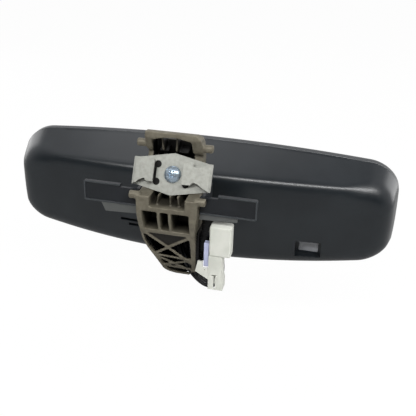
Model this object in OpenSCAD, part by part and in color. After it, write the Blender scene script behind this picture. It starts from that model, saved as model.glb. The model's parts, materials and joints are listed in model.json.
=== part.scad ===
// Interior rearview mirror with a windscreen foot, a hollow ball joint and an
// electrically dimmed head. Units are millimetres, +Z is up, +X runs along the
// head and +Y points into the car. The origin is on the axis of the clip screw,
// in the foot's seat plane.

/* [Mirror head] */
// Overall width of the head
head_w = 248; // [210:1:300]
// Height of the head's rim above its centre line
head_top = 38.3; // [34:0.1:47]
// Height of the head's rim below its centre line
head_bottom = 37; // [33:0.1:45]
// Depth of the rear housing behind its rim
housing_depth = 29.3; // [28.5:0.1:36]
// Wall of the rear housing
housing_wall = 2.2; // [1.8:0.1:2.8]
// Height of the housing's rear crease above the centre line
crease_z = 24.4; // [20:0.1:28]
// Radius of the head's corners
corner_r = 18; // [14:0.5:21]
// Depth of the front bezel in front of the seam
bezel_depth = 7.6; // [7:0.1:9.5]

/* [Head position] */
// Distance of the head's seam plane in front of the clip screw
head_y = 70; // [66:0.5:86]
// Height of the head's centre line above the clip screw
head_z = -42; // [-46:0.5:-38]

/* [Ball joint] */
// Radius of the ball
ball_r = 10; // [9:0.1:10.5]
// Radius of the stud's stem
stem_r = 5.5; // [5:0.1:5.8]
// Radius of the wire passage through the stud
stud_bore_r = 2.7; // [2.6:0.1:3.2]
// Wall of the plastic ball seat
seat_wall = 1.6; // [1.2:0.1:2]
// Wall of the steel tension cup
cup_wall = 1.25; // [1:0.05:1.5]
// Running clearance between the spherical faces
ball_gap = 0.05; // [0.02:0.01:0.1]

/* [Mounting foot] */
// Backward lean of the seat plane from upright, in degrees
seat_lean = 26; // [22:0.5:28]
// Height of the top block above the clip screw
block_top = 23.6; // [22:0.1:28.5]
// Half width of the top block
block_half_w = 15.4; // [13.5:0.1:17]
// Half width of the lower frame at its top
frame_half_w = 17; // [16:0.1:19]
// Radius of the four trim trunnions
trunnion_r = 2.2; // [1.8:0.1:2.6]
// Reach of the trunnion tips from the middle
trunnion_reach = 21; // [20:0.1:25]
// Thickness of the foot's ribs
rib_t = 1.6; // [1.2:0.1:2.2]
// Outer radius of the stalk that holds the ball stud
stalk_r = 9; // [8.5:0.1:10]

/* [Spring clip] */
// Sheet thickness of the clip
clip_t = 0.8; // [0.6:0.05:1]
// Half width of the clip across its folds
clip_half_w = 21.9; // [20:0.1:25]
// Height of the clip's ends
clip_end_h = 15; // [13:0.1:17]
// Height of the clip's plate at its two points
clip_mid_h = 23; // [21:0.1:26]
// Outside radius of the folds
fold_r = 2; // [1.6:0.1:2.4]
// Shank radius of the clip screw
screw_r = 2; // [1.5:0.05:2.2]
// Head radius of the clip screw
screw_head_r = 4.6; // [3.8:0.1:4.8]

/* [Trim carrier] */
// Half width of the carrier bar
bar_half_w = 48; // [42:0.5:58]
// Height of the carrier bar
bar_h = 11.7; // [10:0.1:14]
// Half width of the lower flange
flange_half_w = 39; // [34:0.5:41]
// Sheet thickness of the carrier
carrier_t = 1.8; // [1.4:0.1:2.2]

/* [Connector and harness] */
// Width of the connector's upper block
shell_w = 12; // [11:0.1:14.5]
// Depth of the connector's upper block
shell_d = 8; // [7.6:0.1:9.6]
// Height of the connector's upper block
shell_h = 18.4; // [17:0.1:22]
// Width of the lower shroud
shroud_w = 7.6; // [7.2:0.1:9.2]
// Height of the lower shroud
shroud_h = 21.3; // [18:0.1:25.6]
// Wall of the shroud
shroud_wall = 0.9; // [0.7:0.05:1.1]
// Radius of the taped wire bundle
bundle_r = 2.4; // [2:0.1:2.5]
// Radius of the wire bundle inside the head
head_bundle_r = 1.7; // [1.4:0.1:1.9]

/* [Glass] */
// Thickness of each glass sheet
glass_t = 2; // [1.6:0.1:2.1]
// Thickness of the gel cell between the sheets
cell_t = 0.25; // [0.15:0.01:0.3]

/* [Hidden] */
$fn = 48;
fit_gap = 0.3;      // between parts on different bodies
slip_gap = 0.05;    // between a pin and its own hole

// Head layout, in the head's own frame: seam plane at y = 0, rear side at -y.
half_w = head_w / 2;
rim_bow_top = 5.6;        // fall of the top rim from the middle to the ends
rim_bow_bottom = 9.4;
rim_bow_end = 1.5;
plateau_half_w = half_w - 3.7;
plateau_bottom = head_bottom - 4.5;
crease_bow = 2.2;
plateau_bow_bottom = 8.8;
plateau_r = corner_r - 3;
end_drop = 12;            // how much shallower the housing is at its ends
camber = 1.2;
camber_z = 6;
camber_span = 30;
crease_r = 2.6;           // rounding of the crease, the ends and the lower edge
end_r = 7;
lower_r = 8;
ball_y = -(housing_depth - 11.3);
opening_r = ball_r + 4;   // opening for the stem in the housing's back

// Ball joint layers, all about the ball's centre; angles from the rear axis.
seat_out_r = ball_r + ball_gap + seat_wall;
cup_out_r = seat_out_r + ball_gap + cup_wall;
socket_in_r = cup_out_r + ball_gap;
mouth_angle = 58;
front_angle = 130;
socket_r = socket_in_r + 9.5;
retainer_r = socket_in_r + 3.6;
retainer_len = 8.3;
clamp_flange_t = 1.5;
clamp_pitch_r = socket_in_r + 6.2;
clamp_screw_r = 1.25;
frame_back_y = -9;
frame_t = 2;
frame_half_len = 58;
frame_half_h = 23;

// Glass stack, from the bezel's lip backwards.
lip_t = 1.15;
lip_inset = 4.6;
bezel_wall = 2.2;
seam_gap = 0.15;
glass_front_y = bezel_depth - lip_t - 0.15;
front_glass_y = glass_front_y - glass_t;
rear_glass_y = front_glass_y - cell_t - glass_t;
pad_t = 1.6;
pad_y = rear_glass_y - pad_t;
carrier_plate_t = 2;
carrier_plate_y = pad_y - carrier_plate_t;
glass_inset = bezel_wall + 0.4;
rear_glass_inset = glass_inset + 1;
pad_inset = rear_glass_inset + 1.6;
board_t = 1.6;
board_y = carrier_plate_y - 2 - board_t;
board_x = [17, 92];
board_half_h = 22;

// Sensor recess low on the right of the housing's back.
recess_x = [half_w - 58.2, half_w - 42.6];
recess_z = [-24, -13.2];
recess_floor = 5.4;       // depth of the recess below the back face
window_wall = 1.4;
sensor_x = (recess_x[0] + recess_x[1]) / 2;
sensor_z = (recess_z[0] + recess_z[1]) / 2;

// Foot layout.
frame_front_y = -14;
frame_top_z = -8.2;
bar_z = [-5.3 - bar_h, -5.3];
bar_y = -9;               // front of the trim carrier's bar
flange_lean = 2.8;        // width lost at the flange's slanted left end
flange_drop = [5.6, 2.7]; // depth of the flange below the bar at its left and right ends
pocket_top_z = -17;
pocket_bottom_z = -29;
second_bar_z = -31;
lattice_depth = 1.4;      // depth of the lattice's ribs
liner_front = 2.4;        // set-back of the wire cover from the arm's front
foot_bottom_z = -62;
foot_back_y = 24;
stalk_end_y = head_y + ball_y - 18;
stud_seat = 8;            // length of stem held in the stalk
seat_half_w = 13.6;
screw_len = 13;
upper_pin_y = 3.9;
upper_pin_z = 15.3;
lower_pin_y = -11.5;
lower_pin_z = -9;

// Connector layout.
shell_x = frame_half_w + 6.1;
shell_y = -10;
shell_top_z = bar_z[0] - flange_drop[1] - 3.5;
shell_bottom_z = shell_top_z - shell_h;
shroud_x = shell_x - 0.1;
shroud_d = shell_d - 0.8;
shroud_y = shell_y + 0.4;
shroud_bottom_z = shell_bottom_z - shroud_h;
bracket_x = frame_half_w - 1.98;
bracket_t = 1.6;
bracket_face_y = shell_y + shell_d + 0.02;
bracket_screw_r = 1.5;
bracket_screw_y = 5;
bracket_screw_z = -37;
lock_z = [shell_bottom_z - 8, shell_bottom_z + 6.6];
lock_x = shell_x - 3.2;

// Colours
casting = "#77715F";
zinc = "#B9B8AE";
black = "#26282B";
dark = "#33363A";
white = "#E4E4DA";
lavender = "#BFC2E0";
steel = "#9AA0A6";

// ---------------------------------------------------------------- outlines

function clamp01(v) = min(1, max(0, v));
function mix(a, b, t) = a + (b - a) * t;
function unit(v) = v / norm(v);

end_steps = 2;
arc_steps = 6;
edge_steps = 14;

// Upper half of a rounded rectangle, from its right end over the top to its left end.
function half_outline(hw, h, r) = concat(
    [for (i = [0:end_steps - 1]) [hw, (h - r) * i / end_steps]],
    [for (i = [0:arc_steps]) [hw - r + r * cos(90 * i / arc_steps), h - r + r * sin(90 * i / arc_steps)]],
    [for (i = [1:edge_steps - 1]) [(hw - r) * (1 - 2 * i / edge_steps), h]],
    [for (i = [0:arc_steps]) [-(hw - r) - r * sin(90 * i / arc_steps), h - r + r * cos(90 * i / arc_steps)]],
    [for (i = [end_steps - 1:-1:0]) [-hw, (h - r) * i / end_steps]]);
half_count = 2 * end_steps + 2 * arc_steps + edge_steps;
ring_count = 2 * half_count;

// Bows a point of a half outline: the long edge falls towards the ends and the ends bulge.
function bowed(p, hw, h, bow, end_bow) =
    [p[0] * (1 - end_bow / hw * pow(p[1] / h, 2)), p[1] * (1 - bow / h * pow(p[0] / hw, 2))];

// Full ring of [x, z] points; index i above the centre line pairs with ring_count - i below it.
function ring(hw, top, bottom, r, bow_top, bow_bottom, end_bow) =
    let (up = half_outline(hw, top, r), low = half_outline(hw, bottom, r))
    concat([for (p = up) bowed(p, hw, top, bow_top, end_bow)],
           [for (i = [half_count - 1:-1:1])
                let (p = bowed(low[i], hw, bottom, bow_bottom, end_bow)) [p[0], -p[1]]]);

function rim_ring(inset) = ring(half_w - inset, head_top - inset, head_bottom - inset,
    corner_r - min(inset, corner_r - 6), rim_bow_top, rim_bow_bottom, rim_bow_end);
function plateau_ring(inset) = ring(plateau_half_w - inset, crease_z - inset, plateau_bottom - inset,
    plateau_r - min(inset, plateau_r - 5), crease_bow, plateau_bow_bottom, rim_bow_end);

// Depth of the housing's back face at a point.
function back_y(x, z) = -(housing_depth - end_drop * pow(x / half_w, 2))
    + camber * pow((z - camber_z) / camber_span, 2);

// 0 on the ends, 1 on the long edges.
function edge_share(i) = let (j = i > half_count ? ring_count - i : i,
    p = half_outline(10, 8, 4)[j]) clamp01((p[1] - 4) / 4);
function shoulder_r(i) = mix(end_r, i <= half_count ? crease_r : lower_r, edge_share(i));
function spine(p, hw, h) = [min(hw - h, max(h - hw, p[0])), 0];

// Rings of one side of the housing's wall, lofted from the rim over the shoulder to the spine.
function wall_rings(inset, bends, fills) =
    let (rim = rim_ring(inset), edge = plateau_ring(inset), hw = plateau_half_w, h = plateau_bottom,
         corner = [for (p = edge) [p[0], back_y(p[0], p[1]) + inset, p[1]]],
         near = [for (i = [0:ring_count - 1])
            corner[i] + unit([rim[i][0], 0, rim[i][1]] - corner[i]) * shoulder_r(i)],
         far = [for (i = [0:ring_count - 1])
            let (q = edge[i] + unit(spine(edge[i], hw, h) - edge[i]) * shoulder_r(i))
            [q[0], back_y(q[0], q[1]) + inset, q[1]]])
    concat([[for (p = rim) [p[0], 0, p[1]]]],
        [for (t = bends) [for (i = [0:ring_count - 1])
            near[i] * pow(1 - t, 2) + corner[i] * 2 * t * (1 - t) + far[i] * t * t]],
        [for (w = fills) [for (i = [0:ring_count - 1])
            let (s = spine(edge[i], hw, h), q = mix([far[i][0], far[i][2]], s, w))
            [q[0], back_y(q[0], q[1]) + inset, q[1]]]]);

// Triangles between ring a and ring b of a point list.
function band(a, b) = [for (i = [0:ring_count - 1])
    let (j = (i + 1) % ring_count, p = a * ring_count, q = b * ring_count)
    each [[p + i, p + j, q + j], [p + i, q + j, q + i]]];
function flipped(faces) = [for (f = faces) [f[2], f[1], f[0]]];
// Closes a ring across its slit, joining each upper point to its lower partner.
function slit(a) = let (p = a * ring_count, n = half_count) concat(
    [[p, p + 1, p + ring_count - 1]],
    [for (i = [1:n - 2]) each [[p + i, p + i + 1, p + ring_count - i - 1],
        [p + i, p + ring_count - i - 1, p + ring_count - i]]],
    [[p + n - 1, p + n, p + n + 1]]);

module in_head() {
    translate([0, head_y, head_z])
        children();
}

module at_ball() {
    translate([0, head_y + ball_y, head_z])
        rotate([90, 0, 0])
            children();
}

// Upright slab of the rim's outline, inset, from y0 over a thickness.
module slab(inset, y0, t) {
    translate([0, y0 + t, 0])
        rotate([90, 0, 0])
            linear_extrude(t)
                polygon(rim_ring(inset));
}

// Cylinder along Y.
module rod(r, y0, y1) {
    translate([0, y1, 0])
        rotate([90, 0, 0])
            cylinder(r = r, h = y1 - y0);
}

// Box given by its low and high corners.
module block(low, high) {
    translate(low)
        cube(high - low);
}

module rounded_plate(x, z, r, y0, t) {
    translate([0, y0 + t, 0])
        rotate([90, 0, 0])
            linear_extrude(t)
                difference() {
                    translate([x[0], z[0]])
                        square([x[1] - x[0], z[1] - z[0]]);
                    for (cx = [0, 1], cz = [0, 1])
                        translate([x[cx], z[cz]])
                            difference() {
                                square(2 * r, center = true);
                                translate([cx ? -r : r, cz ? -r : r])
                                    circle(r);
                            }
                }
}

// Tube swept along a list of points.
function path_dir(pts, i) = unit(pts[min(i + 1, len(pts) - 1)] - pts[max(i - 1, 0)]);
function carry(n, d) = unit(n - (n * d) * d);
function normals(pts, n, i = 0) = i >= len(pts) ? [] :
    let (m = carry(n, path_dir(pts, i))) concat([m], normals(pts, m, i + 1));
module tube(pts, r, start_normal, sides = 8) {
    side_dirs = normals(pts, start_normal);
    last = len(pts) - 1;
    rings = [for (i = [0:last]) let (d = path_dir(pts, i), n = side_dirs[i], b = cross(d, n))
        each [for (k = [0:sides - 1]) pts[i] + r * (cos(360 * k / sides) * n + sin(360 * k / sides) * b)]];
    walls = [for (i = [0:last - 1], k = [0:sides - 1])
        let (a = i * sides + k, b = i * sides + (k + 1) % sides)
        each [[a, a + sides, b + sides], [a, b + sides, b]]];
    polyhedron(rings, concat(walls, [[for (k = [0:sides - 1]) k]],
        [[for (k = [sides - 1:-1:0]) last * sides + k]]));
}

// ---------------------------------------------------------------- foot

// Frame of the seat plane: X across, Y up the plane, Z out towards the windscreen.
module on_seat() {
    rotate([90 - seat_lean, 0, 0])
        children();
}

// Front view of the lower arm, [x, z]: straight at the right, swept in at the left.
rail_w = 3;
arm_right = frame_half_w - 2;
arm_left = [
    [-frame_half_w, frame_top_z], [-frame_half_w + 0.6, pocket_bottom_z + 3],
    [-frame_half_w + 1.9, second_bar_z - 7],
    [-frame_half_w + 3.8, second_bar_z - 12], [-frame_half_w + 9.4, foot_bottom_z + 9.5],
    [-frame_half_w + 12.5, foot_bottom_z + 4], [-frame_half_w + 15.1, foot_bottom_z + 1.3],
    [-frame_half_w + 19.4, foot_bottom_z]
];
arm_front = concat(
    [[frame_half_w, frame_top_z], [frame_half_w, pocket_top_z], [arm_right, second_bar_z],
        [arm_right, foot_bottom_z + 4.5], [arm_right - rail_w, foot_bottom_z + 4],
        [arm_right - rail_w - 2, foot_bottom_z]],
    [for (i = [len(arm_left) - 1:-1:0]) arm_left[i]]);
// Side view of the lower arm, [y, z]: its front line from the top down, then its back.
front_line = [
    [frame_front_y, frame_top_z], [frame_front_y, pocket_top_z - 4],
    [frame_front_y + 3.6, second_bar_z], [frame_front_y + 7.2, head_z],
    [frame_front_y + 11, foot_bottom_z + 4], [frame_front_y + 15, foot_bottom_z - 1]
];
arm_side = concat(front_line, [
    [frame_front_y + 22, foot_bottom_z - 1],
    [foot_back_y, head_z - stalk_r], [foot_back_y, head_z + stalk_r],
    [10, pocket_bottom_z], [9, -12], [6, frame_top_z]
]);
// The arm's front line set back by some distance.
function set_back(by) = [for (p = front_line) p + [by, 0]];
function backwards(list) = [for (i = [len(list) - 1:-1:0]) list[i]];
function skin(from, to) = concat(set_back(from), backwards(set_back(to)));

module across_x(points, half) {
    rotate([90, 0, 90])
        translate([0, 0, -half])
            linear_extrude(2 * half)
                polygon(points);
}

module through_y(points, y0, y1) {
    translate([0, y1, 0])
        rotate([90, 0, 0])
            linear_extrude(y1 - y0)
                polygon(points);
}

module arm_block() {
    intersection() {
        across_x(arm_side, frame_half_w + 1);
        through_y(arm_front, frame_front_y - 1, foot_back_y + 1);
        translate([0, 0, foot_bottom_z - 2])
            linear_extrude(-foot_bottom_z + 2)
                polygon([[-frame_half_w, frame_front_y], [frame_half_w, frame_front_y],
                    [frame_half_w, 10], [stalk_r, foot_back_y], [-stalk_r, foot_back_y],
                    [-frame_half_w, 10]]);
    }
}

// Inside outline of the lower arm, [x, z], a wall's width inside arm_front.
wall_w = 1.5;
lattice_top = second_bar_z - 0.9;
lattice_right = arm_right - rail_w;
lattice_left = [for (i = [2:len(arm_left) - 1]) arm_left[i] + [wall_w - 0.1 * i, i < 4 ? 0.6 : 1.4]];
lattice_outline = concat([[lattice_right, lattice_top], [arm_left[1][0] + wall_w + 0.6, lattice_top]],
    lattice_left, [[lattice_right - 1, foot_bottom_z + 1.6], [lattice_right, foot_bottom_z + 6]]);
// Ribs of the lattice, each from one [x, z] point to another, with its set-back from the front.
cross_x = 0.4;
lattice_ribs = [
    [[-frame_half_w + 2.6, lattice_top + 0.6], [cross_x + 11.4, head_z - 9.6], 0],
    [[arm_right - 2.6, lattice_top - 0.4], [-frame_half_w + 6.4, head_z - 6.6], 0],
    [[-frame_half_w + 6, head_z - 6.2], [lattice_right - 0.6, head_z - 7.2], 0.3],
    [[-frame_half_w + 7.4, head_z - 7], [lattice_right - 2, head_z - 15], 0.7],
    [[-frame_half_w + 11, head_z - 14], [lattice_right - 1, head_z - 8.2], 0.5],
    [[-frame_half_w + 12, head_z - 14], [lattice_right + 0.5, head_z - 14.6], 0.8]
];
hollow_back_y = foot_back_y - 10;
// Side view of the hollow behind the lattice, [y, z].
hollow_back = [[hollow_back_y, lattice_top + 1], [hollow_back_y, foot_bottom_z + 6.5],
    [hollow_back_y - 7, foot_bottom_z + 1]];

module rib(from, to, t) {
    run = to - from;
    translate([from[0], -20, from[1]])
        rotate([0, -atan2(run[1], run[0]), 0])
            translate([0, 0, -t / 2])
                cube([norm(run), 40, t]);
}

module lattice() {
    intersection() {
        arm_block();
        union() {
            for (r = lattice_ribs)
                intersection() {
                    rib(r[0], r[1], r[2] > 0 ? 0.8 * rib_t : rib_t);
                    across_x(skin(r[2], r[2] + lattice_depth), frame_half_w);
                }
            // floor of the upper cell
            intersection() {
                through_y([[-frame_half_w + 3, lattice_top + 1], [arm_right - 2.6, lattice_top + 1],
                    [cross_x, head_z]], frame_front_y, 0);
                across_x(skin(0.9, 2.3), frame_half_w);
            }
        }
    }
}

// Inside of the lower arm between two lines of its side view, shrunk by an inset.
module lattice_tube(inset, side) {
    intersection() {
        translate([0, 30, 0])
            rotate([90, 0, 0])
                linear_extrude(60)
                    offset(delta = -inset)
                        polygon(lattice_outline);
        across_x(side, frame_half_w);
    }
}

// Hole low in the arm where the wires leave it.
module wire_exit() {
    through_y([[5.8, foot_bottom_z + 3.4], [9, foot_bottom_z - 0.9], [lattice_right, foot_bottom_z - 4],
        [lattice_right, foot_bottom_z + 6.4], [5.8, foot_bottom_z + 6.4]], 1.6, 7.2);
}

module arm_hollow() {
    lattice_tube(0, concat(set_back(-1), backwards(hollow_back)));
    wire_exit();
}

module pockets() {
    edge = frame_half_w - 3.2;
    gap = rib_t / 2;
    for (span = [[-edge, -4.4 - gap], [-4.4 + gap, 1.8 - gap], [1.8 + gap, edge - 1.4]])
        through_y([[span[0], pocket_top_z], [span[1], pocket_top_z], [span[1], pocket_bottom_z],
            [span[0] + (span[0] < -9 ? 0.8 : 0), pocket_bottom_z]], frame_front_y - 1, frame_front_y + 16);
}

// Box cut from y0 to y1 that leaves thin slanted ribs standing, set back from its mouth.
module ribbed_recess(x, z0, z1, y0, y1, ribs, rib_back) {
    difference() {
        block([x[0], y0, z0], [x[1], y1, z1]);
        for (r = ribs)
            translate([r[0], 0, (z0 + z1) / 2])
                rotate([0, r[1], 0])
                    block([-rib_t / 3, y0 + rib_back, -(z1 - z0)], [rib_t / 3, y1 + 1, z1 - z0]);
    }
}

arch_r = 30;
module top_block() {
    difference() {
        across_x([[-1, block_top], [-1.6, block_top - 3], [2.6, 12.6], [5.6, 10.6], [3.4, 5], [11.5, 2.2],
            [12.4, 8], [10, block_top - 7], [3.4, block_top - 0.4]], block_half_w);
        // arched recess
        intersection() {
            ribbed_recess([-block_half_w + 3.4, block_half_w - 5.4], 5, block_top - 1, -5, 9.5,
                [[-6.4, -5], [1.1, 3]], 7.5);
            translate([0, 0, block_top - 2.4 - arch_r])
                rod(arch_r, -6, 10);
        }
        // chamfered right shoulder
        translate([block_half_w, 0, block_top])
            rotate([0, 45, 0])
                cube([3.4, 60, 3.4], center = true);
    }
    for (x = [-6.4, 4.9])
        translate([x, 8.2, 12.2])
            rotate([20, 0, 0])
                cube([5.2, 7, 1.2], center = true);
}

module trunnion(side, y, z, root) {
    translate([side * root, y, z])
        rotate([0, side * 90, 0])
            cylinder(r = trunnion_r, h = trunnion_reach - root);
}

// Six-sided plate with two straight ends and a point at the top and at the bottom.
function plate_outline(half, end_y, mid_y) = [[-half, -end_y], [0, -mid_y], [half, -end_y],
    [half, end_y], [0, mid_y], [-half, end_y]];

// Seat behind the clip's plate, a little smaller than the plate all round.
module seat_body() {
    inset = 1.2;
    on_seat() {
        intersection() {
            translate([0, 0, -9])
                linear_extrude(9)
                    polygon(plate_outline(clip_half_w - fold_r, clip_end_h / 2 - inset,
                        clip_mid_h / 2 - inset));
            translate([-seat_half_w, -20, -10])
                cube([2 * seat_half_w, 40, 12]);
        }
        translate([0, 0, -screw_len - 1])
            cylinder(r = 5, h = screw_len);
    }
}

module mount_foot() {
    color(casting)
        difference() {
            union() {
                top_block();
                seat_body();
                arm_block();
                translate([0, 0, head_z])
                    rod(stalk_r, foot_back_y - 3, stalk_end_y);
                for (s = [-1, 1]) {
                    trunnion(s, upper_pin_y, upper_pin_z, block_half_w - 1);
                    trunnion(s, lower_pin_y, lower_pin_z, frame_half_w - 2);
                }
            }
            on_seat()
                translate([0, 0, -screw_len - 2])
                    cylinder(r = screw_r + slip_gap, h = screw_len + 3);
            // opening between the seat and the frame, under the clip
            ribbed_recess([-frame_half_w + 7.6, frame_half_w - 7], pocket_top_z + 2.8, frame_top_z + 1,
                frame_front_y - 1, 2, [[-5.6, 12], [1.2, -3], [5.6, -8]], 5);
            on_seat()
                linear_extrude(7)
                    offset(delta = fit_gap)
                        polygon(plate_outline(clip_half_w - fold_r, clip_end_h / 2, clip_mid_h / 2));
            pockets();
            difference() {
                arm_hollow();
                lattice();
            }
            translate([0, 0, head_z]) {
                rod(stud_bore_r + 0.2, 10, stalk_end_y + 1);
                rod(stem_r + 0.02, stalk_end_y - stud_seat, stalk_end_y + 1);
            }
            translate([frame_half_w - 8, bracket_screw_y, bracket_screw_z])
                rotate([0, 90, 0])
                    cylinder(r = bracket_screw_r + slip_gap, h = 12);
        }
}

// Tongues folded back over the plate: where each one ends, left then right, and how far it rises.
tongue_end = [clip_half_w - 12.1, clip_half_w - 15.7];
tongue_rise = 0.9;
module clip_profile() {
    fold_x = clip_half_w - fold_r;
    translate([-fold_x, 0])
        square([2 * fold_x, clip_t]);
    for (s = [-1, 1]) {
        end_x = tongue_end[s > 0 ? 1 : 0];
        translate([s * fold_x, fold_r])
            intersection() {
                difference() {
                    circle(fold_r);
                    circle(fold_r - clip_t);
                }
                translate([s > 0 ? 0 : -2 * fold_r, -2 * fold_r])
                    square([2 * fold_r, 4 * fold_r]);
            }
        polygon([[s * fold_x, 2 * fold_r - clip_t], [s * fold_x, 2 * fold_r],
            [s * end_x, 2 * fold_r + tongue_rise], [s * end_x, 2 * fold_r + tongue_rise - clip_t]]);
    }
}

// Cut-outs on the tongues' long edges, each as [side, edge, points]; the points run from the
// tongue's end outwards, as distances from the fold and from the edge.
tongue_cuts = [
    [-1, -1, [[13.1, 0], [13.1, 2.3], [8, 2.5], [7.6, 3.7], [6.6, 3.8], [4.6, 2.9], [2.7, 1.1],
        [1, 0.3], [0.8, 0]]],
    [1, -1, [[16.7, 0], [16.7, 2.5], [11, 2.6], [10.2, 3.7], [9.3, 4.3], [6.8, 3.4], [4.2, 1.7],
        [1.2, 0.4], [1, 0]]],
    [1, 1, [[10.6, 0], [10.4, 2.2], [8.2, 2.8], [5, 2], [1.4, 0.3], [1.2, 0]]]
];
relief_r = 2;
relief_x = [8.8, 7.6];
relief_y = 4.75;
module spring_clip() {
    end_y = clip_end_h / 2;
    fold_x = clip_half_w - fold_r;
    color(zinc)
        on_seat()
            translate([0, 0, slip_gap])
                difference() {
                    union() {
                        translate([0, end_y, 0])
                            rotate([90, 0, 0])
                                linear_extrude(clip_end_h)
                                    clip_profile();
                        linear_extrude(clip_t)
                            polygon(plate_outline(fold_x, end_y, clip_mid_h / 2));
                    }
                    translate([0, 0, -1])
                        cylinder(r = screw_r + slip_gap, h = 4);
                    for (s = [-1, 1]) {
                        side = s > 0 ? 1 : 0;
                        // relief holes and the slot between them, under each tongue's tip
                        for (v = [-1, 1])
                            translate([s * relief_x[side], v * relief_y, -1])
                                cylinder(r = relief_r, h = 2.4);
                        translate([s * (relief_x[side] + 1.2) - 0.8, -relief_y, -1])
                            cube([1.6, 2 * relief_y, 2.4]);
                    }
                    for (c = tongue_cuts)
                        translate([0, 0, 2 * fold_r - 1.5])
                            linear_extrude(6)
                                polygon([for (p = c[2]) [c[0] * (clip_half_w - p[0]),
                                    c[1] * (end_y + (p[1] == 0 ? 1 : -p[1]))]]);
                }
}

module clip_screw() {
    color(steel)
        on_seat()
            translate([0, 0, clip_t + slip_gap]) {
                difference() {
                    intersection() {
                        cylinder(r = screw_head_r, h = 2.8);
                        translate([0, 0, 2.8 - 7.4])
                            sphere(r = 7.4);
                    }
                    translate([0, 0, 1.2])
                        for (a = [0:60:120])
                            rotate([0, 0, a])
                                cube([3.6, 1.3, 4], center = true);
                }
                translate([0, 0, -screw_len])
                    cylinder(r = screw_r, h = screw_len);
            }
}

// Carrier for the trim covers: a framed bar, a flange below it and a strap behind the arm.
strap_gap = 0.25;
module trim_carrier() {
    top = bar_z[1];
    low = bar_z[0];
    wrap = frame_half_w + strap_gap;
    color(dark) {
        difference() {
            union() {
                rounded_plate([-bar_half_w, bar_half_w], [low, top], 0.8, bar_y, carrier_t);
                // raised border
                difference() {
                    rounded_plate([-bar_half_w, bar_half_w], [low, top], 0.8, bar_y - 0.5, 0.6);
                    block([-bar_half_w + 0.9, bar_y - 1, low + 0.9], [bar_half_w - 0.9, bar_y, top - 0.9]);
                }
                through_y([[-flange_half_w, low + 1], [flange_half_w - 1, low + 1],
                    [flange_half_w - 1.4, low - flange_drop[1]],
                    [-flange_half_w + flange_lean, low - flange_drop[0]]],
                    bar_y + 0.2, bar_y + carrier_t);
            }
            block([-wrap, bar_y - 2, low - 9], [wrap, bar_y + 3, top + 1]);
            block([-27, bar_y - 2, top - 1.8], [27, bar_y + 3, top + 1]);
        }
        difference() {
            block([-wrap - carrier_t, bar_y, low], [wrap + carrier_t, 12 + carrier_t, top - 3]);
            block([-wrap, bar_y - 1, low - 1], [wrap, 12, top]);
        }
    }
}

module ball_stud() {
    stem_len = 18 + stud_seat;
    color(steel)
        at_ball()
            difference() {
                union() {
                    intersection() {
                        sphere(r = ball_r, $fn = 96);
                        translate([0, 0, -8.2])
                            cylinder(r = ball_r + 1, h = 30);
                    }
                    cylinder(r = stem_r, h = stem_len);
                }
                translate([0, 0, -ball_r - 1])
                    cylinder(r = stud_bore_r, h = ball_r + stem_len + 2);
                translate([0, 0, -12])
                    cylinder(r1 = stud_bore_r + 6.4, r2 = stud_bore_r, h = 12);
            }
}

module connector_bracket() {
    clear_x = frame_half_w + 0.05;
    right_x = shell_x + shell_w - 4;
    top_z = bar_z[0] - flange_drop[1] - 0.9;
    step_z = shell_top_z - 13;
    color(black)
        difference() {
            union() {
                block([bracket_x, -6, foot_bottom_z + 8], [bracket_x + bracket_t, 8.5, second_bar_z]);
                // plate behind the connector, notched for the wires
                through_y([[clear_x, top_z], [right_x, top_z], [right_x, step_z], [shell_x - 0.4, step_z],
                    [shell_x - 0.4, shell_bottom_z - 8], [bracket_x, shell_bottom_z - 8],
                    [bracket_x, second_bar_z], [clear_x, second_bar_z]],
                    bracket_face_y, bracket_face_y + bracket_t);
                block([clear_x, bracket_face_y, top_z - 1.6], [right_x, bracket_face_y + 4, top_z]);
                block([shell_x - 1.6, bracket_face_y, shell_bottom_z - 6],
                    [shell_x - 0.4, bracket_face_y + 4, top_z - 1]);
            }
            translate([bracket_x - 1, bracket_screw_y, bracket_screw_z])
                rotate([0, 90, 0])
                    cylinder(r = bracket_screw_r + slip_gap, h = 4);
        }
}

module bracket_screw() {
    color(steel)
        translate([bracket_x + bracket_t, bracket_screw_y, bracket_screw_z])
            rotate([0, 90, 0]) {
                cylinder(r = 2.6, h = 1.6);
                translate([0, 0, -bracket_t - 2.6])
                    cylinder(r = bracket_screw_r, h = bracket_t + 2.6);
            }
}

module connector_shell() {
    color(white)
        difference() {
            block([shell_x, shell_y, shell_bottom_z],
                [shell_x + shell_w, shell_y + shell_d, shell_top_z]);
            // hollow for the wire ends, open at the left
            block([shell_x - 1, shell_y + 1.4, shell_bottom_z + 1.4],
                [shell_x + 4, shell_y + shell_d - 1.4, shell_top_z - 2.4]);
        }
}

module connector_shroud() {
    w = shroud_wall;
    right = shroud_x + shroud_w;
    slot_x = shroud_x + 3.2;
    slot_top = shroud_bottom_z + 9.6;
    color(white)
        difference() {
            through_y([[shroud_x, shell_bottom_z], [right, shell_bottom_z],
                [right, shroud_bottom_z + 8.9], [right + 0.8, shroud_bottom_z + 6],
                [right + 0.8, shroud_bottom_z], [shroud_x, shroud_bottom_z]],
                shroud_y, shroud_y + shroud_d);
            block([shroud_x + w, shroud_y + w, shroud_bottom_z - 1],
                [right - w, shroud_y + shroud_d - w, shell_bottom_z - 5]);
            // latch slot in the front wall
            block([slot_x, shroud_y - 1, shroud_bottom_z + 0.6],
                [slot_x + 0.8, shroud_y + w + 0.2, slot_top]);
            block([slot_x - 1.2, shroud_y - 1, slot_top - 0.9],
                [slot_x + 1.4, shroud_y + w + 0.2, slot_top]);
        }
}

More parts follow.
